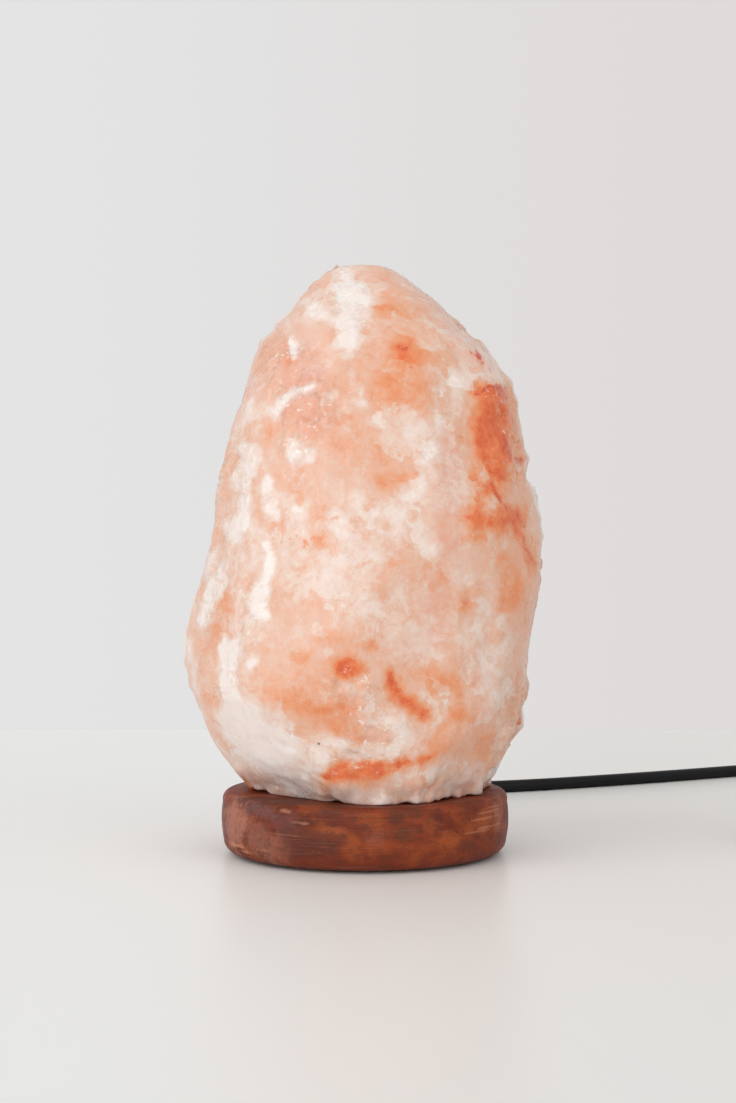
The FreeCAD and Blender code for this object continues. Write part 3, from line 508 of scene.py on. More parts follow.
# patterns round the sides and back: upright stretch, size, seed, octaves, where one starts and
# is full, strength
rockSides = {
    "white": (0.75, 0.030, 31, 5, -0.05, 0.5, 1.15),
    "orange": (1, 0.036, 32, 5, 0.0, 0.55, 1.1),
    "rust": (0.8, 0.016, 33, 5, 0.5, 0.85, 1),
    "pink": (1, 0.040, 34, 3, -0.2, 0.5, 1),
    "broken": (1, 0.05, 35, 2, -0.1, 0.35, 1),
}

# marks on the front: strength, softness, then pixels across and down, half width
rockMarks = {
    "white": [
        # broad milky clouds first, then veils and flakes
        (.44, 2, (420, 430, 14), (424, 480, 16), (395, 520, 26), (360, 560, 34), (340, 600, 28)),
        (.36, 2, (385, 620, 28), (420, 640, 18)),
        (.4, 1.6, (245, 450, 12), (248, 500, 16), (260, 540, 14)),
        (.7, 1.2, (232, 722, 12), (246, 748, 14)),
        (.4, 1.8, (285, 500, 18), (300, 540, 20), (300, 575, 16)),
        (.42, 1.8, (242, 560, 12), (245, 600, 14), (238, 650, 12)),
        (1.05, 1.6, (236, 715, 20), (262, 750, 26), (300, 785, 18)),
        (.32, 2, (450, 335, 10), (490, 368, 12)),
        (.36, 1.5, (460, 390, 10), (455, 440, 12), (460, 500, 8)),
        (.36, 1.6, (480, 630, 16), (500, 680, 20), (495, 720, 16)),
        # this band whitens the bottom rim to make up for the shade it lies in: painted light over
        # the salt's own pink
        (.5, 1.4, (320, 797, 8), (430, 800, 8), (470, 792, 8)),
        (.4, 1.6, (325, 300, 14), (350, 290, 16)),
        (.92, .5, (341, 268, 9), (344, 285, 12), (351, 303, 19), (349, 322, 18), (347, 340, 11),
         (346, 350, 5)),
        (1.24, .4, (345, 286, 4), (346, 312, 6), (343, 332, 7)),
        (.87, .4, (303, 301, 4), (316, 309, 7), (331, 317, 5)),
        # the next two are white flakes with their glints: partly the flakes' own white, partly
        # painted highlights
        (1.47, .3, (289, 337, 1.6), (292, 346, 2.3), (295, 355, 1.6)),
        (1.1, .35, (285, 396, 3), (297, 389, 5), (311, 386, 3)),
        (1.06, .35, (274, 413, 2), (278, 404, 4), (283, 399, 3)),
        (.79, .4, (320, 404, 2.5), (326, 396, 3), (333, 391, 2.5)),
        (.69, .5, (350, 377, 3), (356, 388, 4), (361, 404, 4)),
        (.62, .6, (374, 424, 5), (385, 414, 7), (396, 412, 7), (412, 421, 7)),
        (.59, .75, (448, 377, 8), (463, 385, 10), (455, 398, 11), (444, 415, 9), (440, 432, 7)),
        (.59, .65, (408, 424, 6), (418, 432, 12), (424, 448, 13), (423, 462, 8), (421, 480, 5),
         (420, 492, 4)),
        (.59, .7, (421, 486, 5), (412, 496, 8), (402, 504, 9), (390, 510, 7)),
        (.53, .7, (352, 498, 4), (364, 505, 7), (380, 512, 8), (396, 520, 9)),
        (.81, .6, (337, 516, 3), (341, 526, 5), (347, 537, 4)),
        (1.01, .3, (243, 448, 6), (252, 455, 10), (247, 468, 9), (239, 480, 6), (241, 505, 6),
         (243, 525, 6)),
        (1.06, .3, (265, 482, 6), (266, 498, 8), (269, 512, 7)),
        (1.06, .35, (293, 439, 3), (297, 446, 6), (293, 454, 4)),
        (.84, .4, (313, 449, 3), (313, 457, 5)),
        (.53, .6, (243, 420, 6), (262, 410, 5), (285, 401, 4)),
        (.4, .6, (300, 428, 5), (325, 420, 6), (345, 408, 6)),
        (.46, .5, (400, 283, 3), (430, 302, 4), (462, 327, 4), (495, 357, 4), (510, 378, 3)),
        (.51, .5, (432, 318, 4), (452, 330, 4), (470, 342, 5)), (.71, .6, (495, 503, 5.5)),
        (.5, .65, (477, 459, 3), (478, 470, 4), (475, 480, 3)),
        (.56, .65, (519, 468, 3), (521, 476, 2)),
        (.37, .75, (467, 380, 5), (470, 398, 5), (466, 420, 5), (462, 450, 6)),
        (.46, .6, (488, 368, 6), (503, 380, 6)),
        (.53, .5, (254, 372, 3), (247, 392, 4), (240, 415, 4), (234, 435, 4)),
        (.7, .5, (284, 500, 8), (292, 515, 10), (300, 530, 9)),
        (.79, .4, (230, 524, 8), (236, 536, 6)),
        (1.06, .3, (265, 548, 2.5), (268, 562, 3), (266, 578, 3)),
        (1.19, .3, (267, 588, 3), (260, 600, 6), (257, 610, 7), (263, 612, 5)),
        (.79, .5, (262, 583, 3), (250, 602, 6)),
        (1.06, .25, (221, 570, 3), (217, 583, 6), (210, 597, 8), (204, 611, 6), (201, 620, 4)),
        (.79, .4, (212, 550, 3), (206, 563, 4), (204, 575, 4)),
        (.5, .8, (334, 560, 9), (350, 553, 12), (370, 558, 12), (385, 552, 10)),
        (.68, .6, (397, 568, 4), (402, 580, 5), (399, 594, 4)),
        (.53, .8, (405, 530, 12), (418, 540, 12), (428, 548, 10)),
        (.43, .8, (346, 608, 8), (362, 606, 9), (376, 612, 8)),
        (.46, .75, (366, 624, 8), (378, 630, 6)),
        (.5, .7, (497, 538, 6), (504, 548, 8), (498, 556, 5)),
        (.43, .75, (478, 612, 6), (490, 605, 6), (480, 630, 7)),
        (.56, .65, (505, 622, 5), (509, 636, 6), (507, 650, 5)),
        (.4, .65, (474, 615, 2), (474, 660, 2), (473, 690, 2)),
        (.4, .65, (484, 612, 2), (484, 665, 2)), (.4, .65, (492, 630, 2), (491, 690, 2)),
        (.37, .65, (499, 650, 1.5), (498, 700, 2)), (.37, .65, (466, 640, 1.5), (465, 680, 2)),
        (1.06, .25, (224, 650, 6), (231, 651, 7), (229, 668, 6), (226, 685, 6), (230, 700, 7),
         (238, 712, 8)),
        (.97, .3, (221, 640, 1.5), (222, 680, 2), (226, 705, 2)),
        (.88, .5, (232, 715, 8), (250, 728, 14), (262, 745, 16), (280, 765, 16), (300, 780, 13)),
        (.7, .5, (275, 728, 6), (290, 740, 8), (290, 755, 8)), (1.41, .3, (254.5, 664, 3.2)),
        (.97, .4, (316, 752, 7), (328, 746, 8), (340, 741, 5)),
        (.88, .45, (315, 770, 6), (322, 763, 7), (330, 758, 5)),
        (.75, .65, (345, 756, 4), (362, 757, 6), (380, 753, 6), (398, 751, 7), (418, 750, 5)),
        (.79, .7, (386, 722, 6), (397, 728, 9), (402, 740, 8)),
        (.52, .75, (352, 690, 7), (366, 700, 9), (374, 712, 8)),
        (.75, .65, (428, 702, 5), (437, 708, 7), (436, 720, 6), (444, 704, 5)),
        (.5, .75, (250, 790, 5), (285, 795, 6), (330, 797, 6), (370, 800, 5), (420, 800, 5),
         (455, 792, 5)),
        (.6, .75, (402, 778, 5), (420, 777, 7), (438, 774, 6)),
        (.45, .75, (325, 693, 3), (340, 692, 4), (352, 692, 3)),
        # white plates along the left edge, partly painted highlights on their edges
        (.62, .4, (188, 640, 2.5), (188, 665, 3), (192, 690, 3)),
        (.44, .7, (300, 590, 10), (320, 585, 12)), (.28, .85, (430, 560, 12), (425, 585, 12)),
        (.22, .85, (410, 610, 10), (430, 625, 12)),
    ],
    "orange": [
        # broad warm clouds first, then patches and veins
        (.85, 1.8, (400, 345, 20), (405, 385, 26)), (.4, 1.4, (398, 312, 10), (420, 328, 12)),
        (.7, 1.8, (500, 400, 16), (505, 450, 20), (495, 500, 20)),
        (.55, 1.6, (520, 550, 10), (510, 590, 14)),
        (1, .8, (510, 395, 7), (516, 430, 8), (518, 465, 7)),
        (.7, .8, (531, 540, 5), (536, 575, 5)), (.16, 2, (340, 440, 24), (385, 460, 24)),
        (.3, 2, (290, 400, 24), (320, 420, 24)), (.2, 1.6, (235, 560, 12), (230, 620, 12)),
        (.5, 1, (262, 348, 10), (256, 372, 10), (250, 396, 8)),
        (.55, 1.8, (300, 690, 22), (350, 670, 24), (400, 680, 20), (450, 690, 20)),
        (.45, 1.6, (340, 720, 18), (290, 705, 16)), (.55, 1.6, (440, 745, 22), (480, 745, 16)),
        (.4, 1.6, (350, 775, 12), (410, 765, 10)), (.35, 1.2, (445, 520, 12), (442, 600, 12)),
        (.4, 1.2, (480, 695, 12), (470, 740, 14)),
        (.7, .6, (395, 352, 14), (412, 362, 19), (405, 380, 26), (392, 398, 20), (412, 400, 16)),
        (.95, .8, (405, 351, 9)), (.8, .7, (402, 398, 9), (416, 402, 9)),
        (1.1, .5, (384, 305, 8), (396, 310, 8), (408, 318, 5)),
        (.16, .5, (360, 272, 6), (378, 270, 7), (392, 274, 6)),
        (.75, .5, (424, 324, 4), (440, 333, 5), (455, 342, 4)),
        (1, .4, (286, 359, 4), (296, 357, 4)),
        (1.35, .6, (474, 388, 8), (490, 396, 16), (495, 415, 20), (497, 440, 24), (494, 462, 18),
         (510, 470, 14)),
        (1.3, .5, (478, 486, 12), (495, 490, 14), (478, 512, 16), (500, 515, 16), (520, 520, 12)),
        (.85, .5, (380, 478, 8), (395, 478, 9), (410, 474, 6)),
        (.38, .6, (340, 440, 14), (365, 455, 18), (390, 455, 14)),
        (.7, .5, (308, 515, 7), (326, 512, 7)),
        (.75, .5, (292, 543, 6), (310, 538, 10), (325, 536, 7)), (1.3, .4, (305.7, 544.5, 2.2)),
        (.3, .5, (225, 553, 8), (245, 555, 9), (240, 575, 10)),
        (.7, .5, (226, 600, 9), (225, 618, 10), (215, 632, 10), (205, 645, 7)),
        (.85, .4, (466, 536, 6), (476, 537, 8), (486, 535, 6)),
        (1.15, .45, (514, 528, 5), (524, 543, 6), (532, 558, 5), (536, 570, 3)),
        (.85, .45, (506, 565, 8), (515, 585, 12), (512, 605, 10)),
        (.85, .45, (482, 588, 6), (470, 594, 7), (462, 606, 6)), (1.15, .5, (466, 601, 3.5)),
        (.9, .5, (320, 645, 5), (333, 640, 8), (345, 640, 7)),
        (.8, .5, (294, 657, 3), (302, 655, 6), (311, 653, 4)),
        (1.7, .5, (336, 668, 6), (348, 671, 12), (360, 670, 6)),
        (.9, .5, (358, 646, 4), (368, 644, 5), (376, 648, 4)),
        (1.6, .4, (388, 673, 5), (393, 684, 7), (402, 697, 8), (414, 709, 8), (429, 718, 7)),
        (.85, .5, (410, 672, 9), (430, 676, 11), (450, 684, 10), (460, 694, 7)),
        (.9, .5, (448, 712, 7), (460, 716, 10), (472, 722, 8)),
        (1.05, .4, (436, 738, 4), (442, 730, 5), (446, 724, 4)),
        (.75, .5, (252, 690, 6), (268, 695, 12), (290, 700, 13), (304, 712, 10)),
        (.8, .5, (314, 712, 7), (328, 709, 9), (344, 707, 7)),
        (.65, .5, (330, 730, 6), (342, 728, 9), (355, 735, 7)),
        (.95, .4, (354, 713, 3.5), (363, 716, 4)),
        (1.55, .35, (328, 778, 7), (346, 772, 12), (364, 774, 12), (382, 772, 10), (398, 768, 8),
         (412, 764, 7), (430, 760, 5)),
        (1, .4, (416, 748, 4), (428, 746, 4)),
        (.75, .5, (440, 750, 10), (460, 752, 14), (478, 745, 13), (486, 760, 9)),
        (.9, .5, (494, 741, 5)), (.45, .6, (515, 680, 8), (512, 710, 8)),
        (.4, .6, (300, 560, 10), (296, 580, 10)),
        (.5, .6, (196, 655, 4), (202, 680, 5), (210, 700, 5)),
        (.5, .5, (355, 590, 8), (380, 590, 7)), (.45, .6, (400, 560, 6), (425, 565, 9)),
        (.6, .5, (292, 765, 3), (300, 770, 4), (296, 780, 3)),
        (.5, .5, (270, 440, 8), (265, 425, 6)),
        (.45, .5, (285, 475, 8), (300, 480, 10), (300, 500, 6)),
    ],
    "rust": [
        (.95, .65, (401, 347, 2.5), (407, 350, 3.5)), (.52, .65, (376, 381, 3)),
        (1.2, .35, (471, 353, 1.4), (477, 358, 2.2), (482, 365, 2.2)),
        (1.3, .3, (479, 391, 1.8), (487, 387, 1.4), (495, 384, 2.2), (502, 390, 1.8),
         (508, 396, 2.4)),
        (.6, .5, (482, 407, 2), (494, 412, 3), (506, 416, 2)),
        (1.05, .5, (503, 436, 4), (506, 446, 6), (510, 455, 4)),
        (1.1, .5, (517, 453, 2), (524, 458, 3)),
        (1.2, .3, (486, 484, 1.4), (492, 488, 2.2), (500, 496, 1.8)),
        (.95, .35, (500, 496, 1.6), (510, 506, 2), (519, 517, 2), (524, 528, 2)),
        (.85, .4, (515, 527, 2), (525, 545, 2.5), (534, 562, 2.5)), (1, .35, (340.5, 671, 3)),
        (1.05, .35, (349.5, 671, 3.2)), (.9, .35, (390, 675, 3), (395, 686, 2)),
        (.75, .4, (399, 692, 2.5), (405, 699, 2.5), (424, 716, 2.5)), (.6, .65, (466, 601, 2.8)),
        (.56, .75, (334, 781, 3), (350, 779, 4), (368, 778, 3)),
        (.52, .65, (355, 714, 3), (362, 717, 2.5)), (.52, .65, (412, 548, 2), (409, 551, 2)),
        (.6, .65, (264, 331, 2.5), (259, 345, 2)), (.43, .65, (276, 440, 1.4), (289, 438, 1.2)),
        (.52, .65, (492, 741, 3), (496, 744, 2.5)), (.6, .65, (412, 346, 1.5), (398, 345, 1.5)),
        (.43, .65, (337, 640, 1.5)),
    ],
    "pink": [
        (.95, .6, (290, 340, 20), (300, 365, 28), (300, 395, 28), (318, 420, 20)),
        (.8, .5, (380, 280, 6), (393, 281, 5)),
        (.9, .6, (264, 345, 10), (256, 370, 10), (248, 395, 8)),
        (.6, .6, (270, 430, 12), (285, 425, 14)),
        (.7, .6, (450, 440, 10), (452, 470, 14), (450, 505, 16), (448, 540, 14)),
        (.6, .6, (440, 570, 16), (438, 605, 18), (430, 640, 18)),
        (.6, .6, (300, 480, 14), (320, 455, 14)), (.6, .6, (350, 700, 16), (340, 730, 14)),
        (.5, .6, (380, 640, 14), (400, 650, 16)),
        (.5, .6, (310, 790, 14), (350, 797, 14), (400, 797, 14)),
        (.4, .6, (480, 690, 16), (485, 720, 16)), (.5, .6, (350, 440, 12)),
        (.6, .5, (430, 300, 8), (470, 345, 8), (495, 370, 8)),
    ],
    "broken": [
        # where the surface is broken into small flakes
        (.9, .6, (275, 345, 20), (290, 370, 32), (305, 400, 34), (300, 435, 22)),
        (.55, .5, (232, 450, 16), (226, 500, 14), (214, 560, 14), (206, 610, 16), (198, 660, 12)),
        (.6, .6, (262, 590, 12), (232, 660, 12), (226, 690, 12)),
        (.8, .6, (350, 690, 26), (380, 720, 30), (360, 760, 26)),
        (.8, .5, (522, 690, 12), (520, 735, 14), (500, 765, 12)),
        (.6, .5, (342, 290, 22), (350, 320, 18)), (.3, .5, (300, 785, 16), (330, 790, 12)),
        (.6, .5, (500, 390, 14), (515, 440, 14), (520, 475, 12)),
    ],
}

# bumps and nicks along the outline: pixel across and down, reach in pixels, how far out in mm
rockNicks = [
    (526, 458, 6, 1.6), (526, 480, 8, -2.4), (538, 502, 8, -1.2), (541, 524, 8, -.7),
    (541, 580, 9, .5), (525, 668, 9, -.7), (529, 686, 8, 1.1), (524, 706, 8, -1.5),
    (527, 728, 7, 1.8), (514, 744, 8, -1.2), (215, 560, 9, .5), (205, 585, 8, -.6),
    (186, 640, 9, .5), (184, 662, 9, 1.3), (189, 684, 8, 1.6), (200, 715, 8, -.7),
    (256, 354, 8, .5), (261, 341, 8, 2), (278, 323, 8, 1.2), (300, 297, 8, .6), (318, 280, 7, -.5),
    (232, 442, 8, -.9), (224, 464, 8, -1.2), (218, 484, 8, -.7), (214, 522, 9, -1.9),
    (210, 543, 7, -.9), (241, 402, 8, -.5), (517, 400, 8, .6), (510, 382, 8, 1.6),
    (482, 343, 9, 1.5), (457, 323, 8, 1.5),
]


def copyNode(node, voxel):
    # a joined, evenly remeshed copy of a node's solid
    mesh = frame["nodes"][node].data.copy()
    form = bmesh.new()
    form.from_mesh(mesh)
    bmesh.ops.remove_doubles(form, verts=form.verts, dist=1e-6)
    form.to_mesh(mesh)
    form.free()
    work = addObject(node + "Copy", mesh)
    remesh = work.modifiers.new("remesh", "REMESH")
    remesh.mode = "VOXEL"
    remesh.voxel_size = voxel
    graph = bpy.context.evaluated_depsgraph_get()
    fine = bpy.data.meshes.new_from_object(work.evaluated_get(graph))
    bpy.data.objects.remove(work)
    return fine


def readVectors(items, field):
    # one row for each vertex
    flat = np.empty(len(items) * 3, dtype=np.float32)
    items.foreach_get(field, flat)
    return flat.reshape(-1, 3).astype(float)


def setPlaces(mesh, points):
    mesh.vertices.foreach_set("co", points.astype(np.float32).ravel())
    mesh.update()


def noiseField(points, size, seed, octaves=3):
    # smooth noise at each point, about -1 to 1, with features of that size in metres
    shift = Vector((seed * 3.17, seed * 1.31, seed * 2.23))
    return np.array([noise.fractal(Vector(p) / size + shift, 1.0, 2.0, octaves) for p in points])


def flakeField(points, size, tilt, step, seed):
    # nearest of many scattered seeds: each gives a flat, slightly tilted flake at its own depth
    rng = random.Random(seed)
    low = points.min(axis=0) - size
    high = points.max(axis=0) + size
    counts = [int((high[axis] - low[axis]) / size) + 1 for axis in range(3)]
    seeds = []
    for i in range(counts[0]):
        for j in range(counts[1]):
            for k in range(counts[2]):
                cell = [low[axis] + (n + rng.random()) * size for axis, n in enumerate((i, j, k))]
                seeds.append(cell + [rng.uniform(-tilt, tilt) for axis in range(3)]
                             + [rng.uniform(-step, step)])
    tree = kdtree.KDTree(len(seeds))
    for index, entry in enumerate(seeds):
        tree.insert(entry[:3], index)
    tree.balance()
    seeds = np.array(seeds)
    nearest = seeds[[tree.find(point)[1] for point in points]]
    return nearest[:, 6] + ((points - nearest[:, :3]) * nearest[:, 3:6]).sum(axis=1)


def smoothStep(low, high, value):
    share = np.clip((value - low) / (high - low), 0, 1)
    return share * share * (3 - 2 * share)


def strokeGap(u, v, path):
    # how many pixels each place lies outside a tapered stroke, below nothing inside it
    if len(path) == 1:
        return np.hypot(u - path[0][0], v - path[0][1]) - path[0][2]
    best = np.full(len(u), 1e9)
    for (u0, v0, r0), (u1, v1, r1) in zip(path, path[1:]):
        run = (u1 - u0) ** 2 + (v1 - v0) ** 2
        share = np.clip(((u - u0) * (u1 - u0) + (v - v0) * (v1 - v0)) / run, 0, 1)
        gap = np.hypot(u - u0 - share * (u1 - u0), v - v0 - share * (v1 - v0))
        best = np.minimum(best, gap - (r0 + share * (r1 - r0)))
    return best


def markField(kind, u, v):
    cover = np.zeros(len(u))
    for strength, soft, *path in rockMarks[kind]:
        fade = rock["fade"][kind] * soft
        gap = strokeGap(u, v, path) - rock["spread"].get(kind, 0.0)
        mark = strength * smoothStep(fade, -fade, gap)
        cover = np.maximum(cover, mark) + rock["overlap"] * np.minimum(cover, mark)
    return cover


def markRock(points, outward):
    # marks are laid on by the line of sight, and give way to like patterns round the sides
    toCamera = np.array(view["place"]) - points
    toCamera /= np.linalg.norm(toCamera, axis=1)[:, None]
    facing = smoothStep(*rock["facing"], (toCamera * outward).sum(axis=1))
    facing = facing * (points[:, 1] < rock["frontUpTo"])
    u, v = toPixel(points)
    for pixels, size, seed in rock["ragged"]:
        u = u + pixels * noiseField(points, size, seed)
        v = v + pixels * noiseField(points, size, seed + 1)
    patterns = {}
    masks = {}
    for kind, (stretch, size, seed, octaves, start, full, strength) in rockSides.items():
        patterns[kind] = noiseField(points * np.array([1, 1, stretch]), size, seed, octaves)
        side = (1 - facing) * strength * smoothStep(start, full, patterns[kind])
        if kind == "rust":         # rusty veins run only through the stains
            side = side * smoothStep(0.0, 0.3, patterns["orange"])
        masks[kind] = facing * markField(kind, u, v) + side
    broken = np.clip(masks.pop("broken"), 0, 1)
    return masks, broken, facing


def nearHoles(points):
    # the bore and the screw holes, which stay as they are
    radius, top = rock["bore"]
    keep = (np.hypot(points[:, 0], points[:, 1]) < radius) & (points[:, 2] < top)
    screws = rock["screws"]
    for angle in screws["angles"]:
        x = screws["circle"] * math.cos(math.radians(angle))
        y = screws["circle"] * math.sin(math.radians(angle))
        near = np.hypot(points[:, 0] - x, points[:, 1] - y) < screws["radius"]
        keep |= near & (points[:, 2] < screws["top"])
    return keep


def softenRock(mesh, points):
    # wear takes the edges off the chips, and leaves the holes and the underside
    flat = np.empty(len(mesh.edges) * 2, dtype=np.int32)
    mesh.edges.foreach_get("vertices", flat)
    first, second = flat.reshape(-1, 2).T
    count = np.bincount(flat, minlength=len(points))[:, None]
    fixed = nearHoles(points) | (points[:, 2] < rock["underside"])
    free = np.where(fixed, 0.0, 0.5)[:, None]
    for turn in range(rock["soften"]):
        sums = np.zeros_like(points)
        for axis in range(3):
            sums[:, axis] = (np.bincount(first, points[second, axis], len(points))
                             + np.bincount(second, points[first, axis], len(points)))
        points = points + free * (sums / count - points)
    setPlaces(mesh, points)
    return points


def shapeRock(mesh, points, outward, masks, broken):
    skin = np.where(nearHoles(points), 0.0, smoothStep(*rock["skin"], points[:, 2]))
    move = np.full(len(points), -rock["sink"])
    for size, height, seed in rock["lumps"]:
        move += height * noiseField(points, size, seed, 2)
    flakes = sum(flakeField(points, *entry) for entry in rock["flakes"])
    move += (rock["leastFlakes"] + (1 - rock["leastFlakes"]) * broken) * flakes
    lifted = smoothStep(*rock["flakeLiftAt"], masks["white"])
    move += rock["flakeLift"] * lifted * (0.3 + 0.7 * broken)
    size, height, seed = rock["ribs"]
    ribs = noiseField(points * np.array([1, 1, rock["ribStretch"]]), size, seed, 2)
    move += height * ribs * smoothStep(*rock["ribsFrom"], points[:, 0])
    size, height, seed = rock["grit"]
    move += height * noiseField(points, size, seed)
    for x, y, z, reach, height in rock["swells"]:
        gap = np.linalg.norm(points - np.array([x, y, z]) / 1000, axis=1) / (reach / 1000)
        move += height / 1000 * np.exp(-gap ** 2)
    for across, down, reach, out in rockNicks:
        spot = fromPixel(across, down)
        gap = np.hypot(points[:, 0] - spot.x, points[:, 2] - spot.z) / (reach * rock["pixel"])
        near = np.exp(-(points[:, 1] / rock["nickDepth"]) ** 2)
        move += 0.001 * out * np.exp(-gap ** 2) * near
    points = points + outward * (move * skin)[:, None]
    low, high = (np.array(corner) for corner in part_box("salt_crystal"))
    points = np.clip(points, low + rock["boxGap"], high - rock["boxGap"])
    # the bottom edge steps in and out, and lifts off the wood here and there
    radius = np.hypot(points[:, 0], points[:, 1])
    level = points * np.array([1, 1, 0])
    steps = noiseField(level, 0.0085, 41) + 0.6 * noiseField(level, 0.021, 42, 2)
    band = smoothStep(*rock["rimBand"], points[:, 2]) * smoothStep(*rock["rimFrom"], radius)
    points[:, :2] *= (1 + rock["rim"] * steps * band / radius)[:, None]
    lift = smoothStep(-0.2, 0.5, noiseField(level, 0.012, 43))
    lift = rock["rimLift"] * lift * smoothStep(*rock["liftFrom"], radius)
    points[:, 2] += lift * (points[:, 2] < rock["underside"])
    setPlaces(mesh, points)


saltFinish = {
    # the salt's tones from deep orange to chalk, and where each lies on that scale
    "tones": [
        (0.0, (216, 94, 46)), (0.12, (232, 126, 74)), (0.24, (231, 155, 111)),
        (0.36, (231, 176, 146)), (0.46, (231, 189, 167)), (0.56, (232, 202, 185)),
        (0.70, (236, 216, 205)), (0.85, (242, 228, 220)), (1.0, (246, 238, 233)),
    ],
    "middle": 0.45,            # the tone where nothing is marked
    "halo": (226, 112, 66), "rust": (200, 74, 42), "speck": (92, 60, 46),
    "white": (247, 239, 234), "blush": (250, 222, 218),
    "bump": (0.5, 0.0005),     # strength and depth
}


def saltMaterial():
    mat = startMaterial("rockSalt", Subsurface_Weight=0.4, Subsurface_Scale=0.004,
                        Subsurface_Radius=(1.0, 0.55, 0.38), IOR=1.5, Specular_IOR_Level=0.45,
                        Coat_Weight=0.12, Coat_Roughness=0.2)
    place = objectPlace()
    other = objectPlace(shift=(0.7, 0.3, 0.5))
    centre = (0.5, 0.5, 0.5)

    def mask(name):
        return addNode("Attribute", attribute_name=name + "Mark").outputs["Fac"]

    coarse = noiseAt(place, 46, 4, 0.55)
    middle = noiseAt(place, 150, 6, 0.65, 0.6)
    second = noiseAt(other, 135, 6, 0.65, 0.6)
    fine = noiseAt(place, 460, 5, 0.7)
    sugar = noiseAt(place, 1300, 3, 0.7)
    upright = noiseAt(objectPlace((1, 1, 0.16)), 230, 4, 0.6)
    # broken plates: each a touch lighter or darker than its neighbours
    drift = addNode("TexNoise", {"Vector": place, "Scale": 120.0, "Detail": 4.0})
    drift = vectorCalc("SUBTRACT", {0: drift.outputs["Color"], 1: centre})
    drift = vectorCalc("SCALE", {0: drift, "Scale": 0.022})
    bent = vectorCalc("ADD", {0: place, 1: drift})

    def plates(scale):
        # a tone for each plate, and a height that tilts each plate its own way
        cell = addNode("TexVoronoi", {"Vector": bent, "Scale": scale}).outputs
        tone = addNode("SeparateColor", {"Color": cell["Color"]}).outputs["Red"]
        way = vectorCalc("SUBTRACT", {0: cell["Color"], 1: centre})
        off = vectorCalc("SUBTRACT", {0: bent, 1: cell["Position"]})
        return tone, vectorCalc("DOT_PRODUCT", {0: off, 1: way}, "Value")

    broad, broadTilt = plates(80.0)
    small, smallTilt = plates(200.0)
    chipTilt = plates(420.0)[1]
    # the listed clouds get ragged edges from noise before they are set on the scale
    whiteness = stirred(mask("white"), (middle, 1.2), (fine, 0.5), (broad, 0.35), (small, 0.2))
    redness = stirred(mask("orange"), (second, 1.1), (fine, -0.4), (broad, -0.25), (small, 0.2))
    milk = between(whiteness, 0.0, 1.0, 0, 0.27)
    chalk = between(whiteness, 0.84, 1.08, 0, 0.14)
    warm = between(redness, 0.0, 1.1, 0, -0.19)
    deep = between(redness, 0.95, 1.7, 0, -0.20)
    level = stirred(total(milk, chalk, warm, deep), (coarse, 0.30), (middle, 0.20),
                    (fine, 0.14), (upright, 0.12), (broad, 0.05), (small, 0.05))
    body = ramp(total(level, saltFinish["middle"]), *saltFinish["tones"])
    blush = between(stirred(mask("pink"), (second, 1.0)), 0.1, 1.2, 0, 0.6)
    blush = times(blush, between(whiteness, 0.6, 1.1, 1, 0.2))
    body = blendColour(blush, body, blendColour(1.0, body, saltFinish["blush"], "MULTIPLY"))
    stain = times(mask("rust"), between(fine, 0.36, 0.62, 0.5, 1.3))
    stain = stirred(stain, (second, 0.8), (fine, 0.5))
    body = layColours(body, saltFinish, (stain, 0.15, 0.8, 0.65, "halo"),
                      (stain, 0.6, 1.15, 0.8, "rust"))
    # pale flecks where crystals have broken, painted glints on the flakes (painted highlights in
    # the colour), and a few dark specks
    broken = mask("broken")
    fleck = between(noiseAt(place, 700, 3, 0.7), 0.64, 0.74, 0, 0.7)
    paintedGlint = between(noiseAt(other, 360, 3, 0.6, 0.8), 0.63, 0.68, 0, 0.85)
    cells = addNode("TexVoronoi", {"Vector": place, "Scale": 95.0}).outputs["Distance"]
    dot = between(cells, 0.03, 0.065, 1, 0)
    chosen = between(noiseAt(place, 60, 2), 0.62, 0.66)
    for spots, zone, colour in ((fleck, between(middle, 0.5, 0.62), "white"),
                                (paintedGlint, broken, "white"), (dot, chosen, "speck")):
        body = blendColour(times(spots, zone), body, saltFinish[colour])
    glossy = total(middle, times(broken, -0.15))
    tilted = weighed((smallTilt, 430.0), (chipTilt, 430.0), (broadTilt, 120.0))
    tilted = times(tilted, total(broken, 0.12))
    height = total(weighed((fine, 0.4), (middle, 0.5), (sugar, 0.2)), tilted)
    feed(Base_Color=body, Roughness=between(glossy, 0.2, 0.7, 0.16, 0.46),
         Normal=bump(height, *saltFinish["bump"]))
    return mat


def makeRock():
    mesh = copyNode("salt_crystal", rock["voxel"])
    points = softenRock(mesh, readVectors(mesh.vertices, "co"))
    outward = readVectors(mesh.vertex_normals, "vector")
    masks, broken, facing = markRock(points, outward)
    shapeRock(mesh, points, outward, masks, broken)
    # the fine plates in the material lie flatter round the sides
    masks["broken"] = broken * (rock["sidePlates"] + (1 - rock["sidePlates"]) * facing)
    for name, values in masks.items():
        layer = mesh.attributes.new(name + "Mark", "FLOAT", "POINT")
        layer.data.foreach_set("value", np.clip(values, 0, 1.6).astype(np.float32))
    for face in mesh.polygons:
        face.use_smooth = True
    piece = pieceFrom("saltRock", mesh, saltMaterial())
    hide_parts("salt_crystal")
    print("rock shaped,", len(mesh.polygons), "faces")


makeRock()


# wooden base

woodFinish = {
    "dark": (84, 33, 17), "mid": (117, 46, 22), "light": (146, 64, 31),
    "amber": (164, 82, 36), "stain": (82, 42, 34), "worn": (196, 132, 102),
    # (120, 80, 80) and (176, 114, 94) are painted sheen: the wood's gloss put into its colour
    "paintedGreySheen": (120, 80, 80), "moss": (70, 46, 32), "paintedSheen": (176, 114, 94),
    "radius": 0.0565,
    "spotDepth": 0.022,        # how far a spot reaches into the wood
    "spotFade": (0.45, 1.35),  # where it starts to fade and is gone, 1 at its half width
}
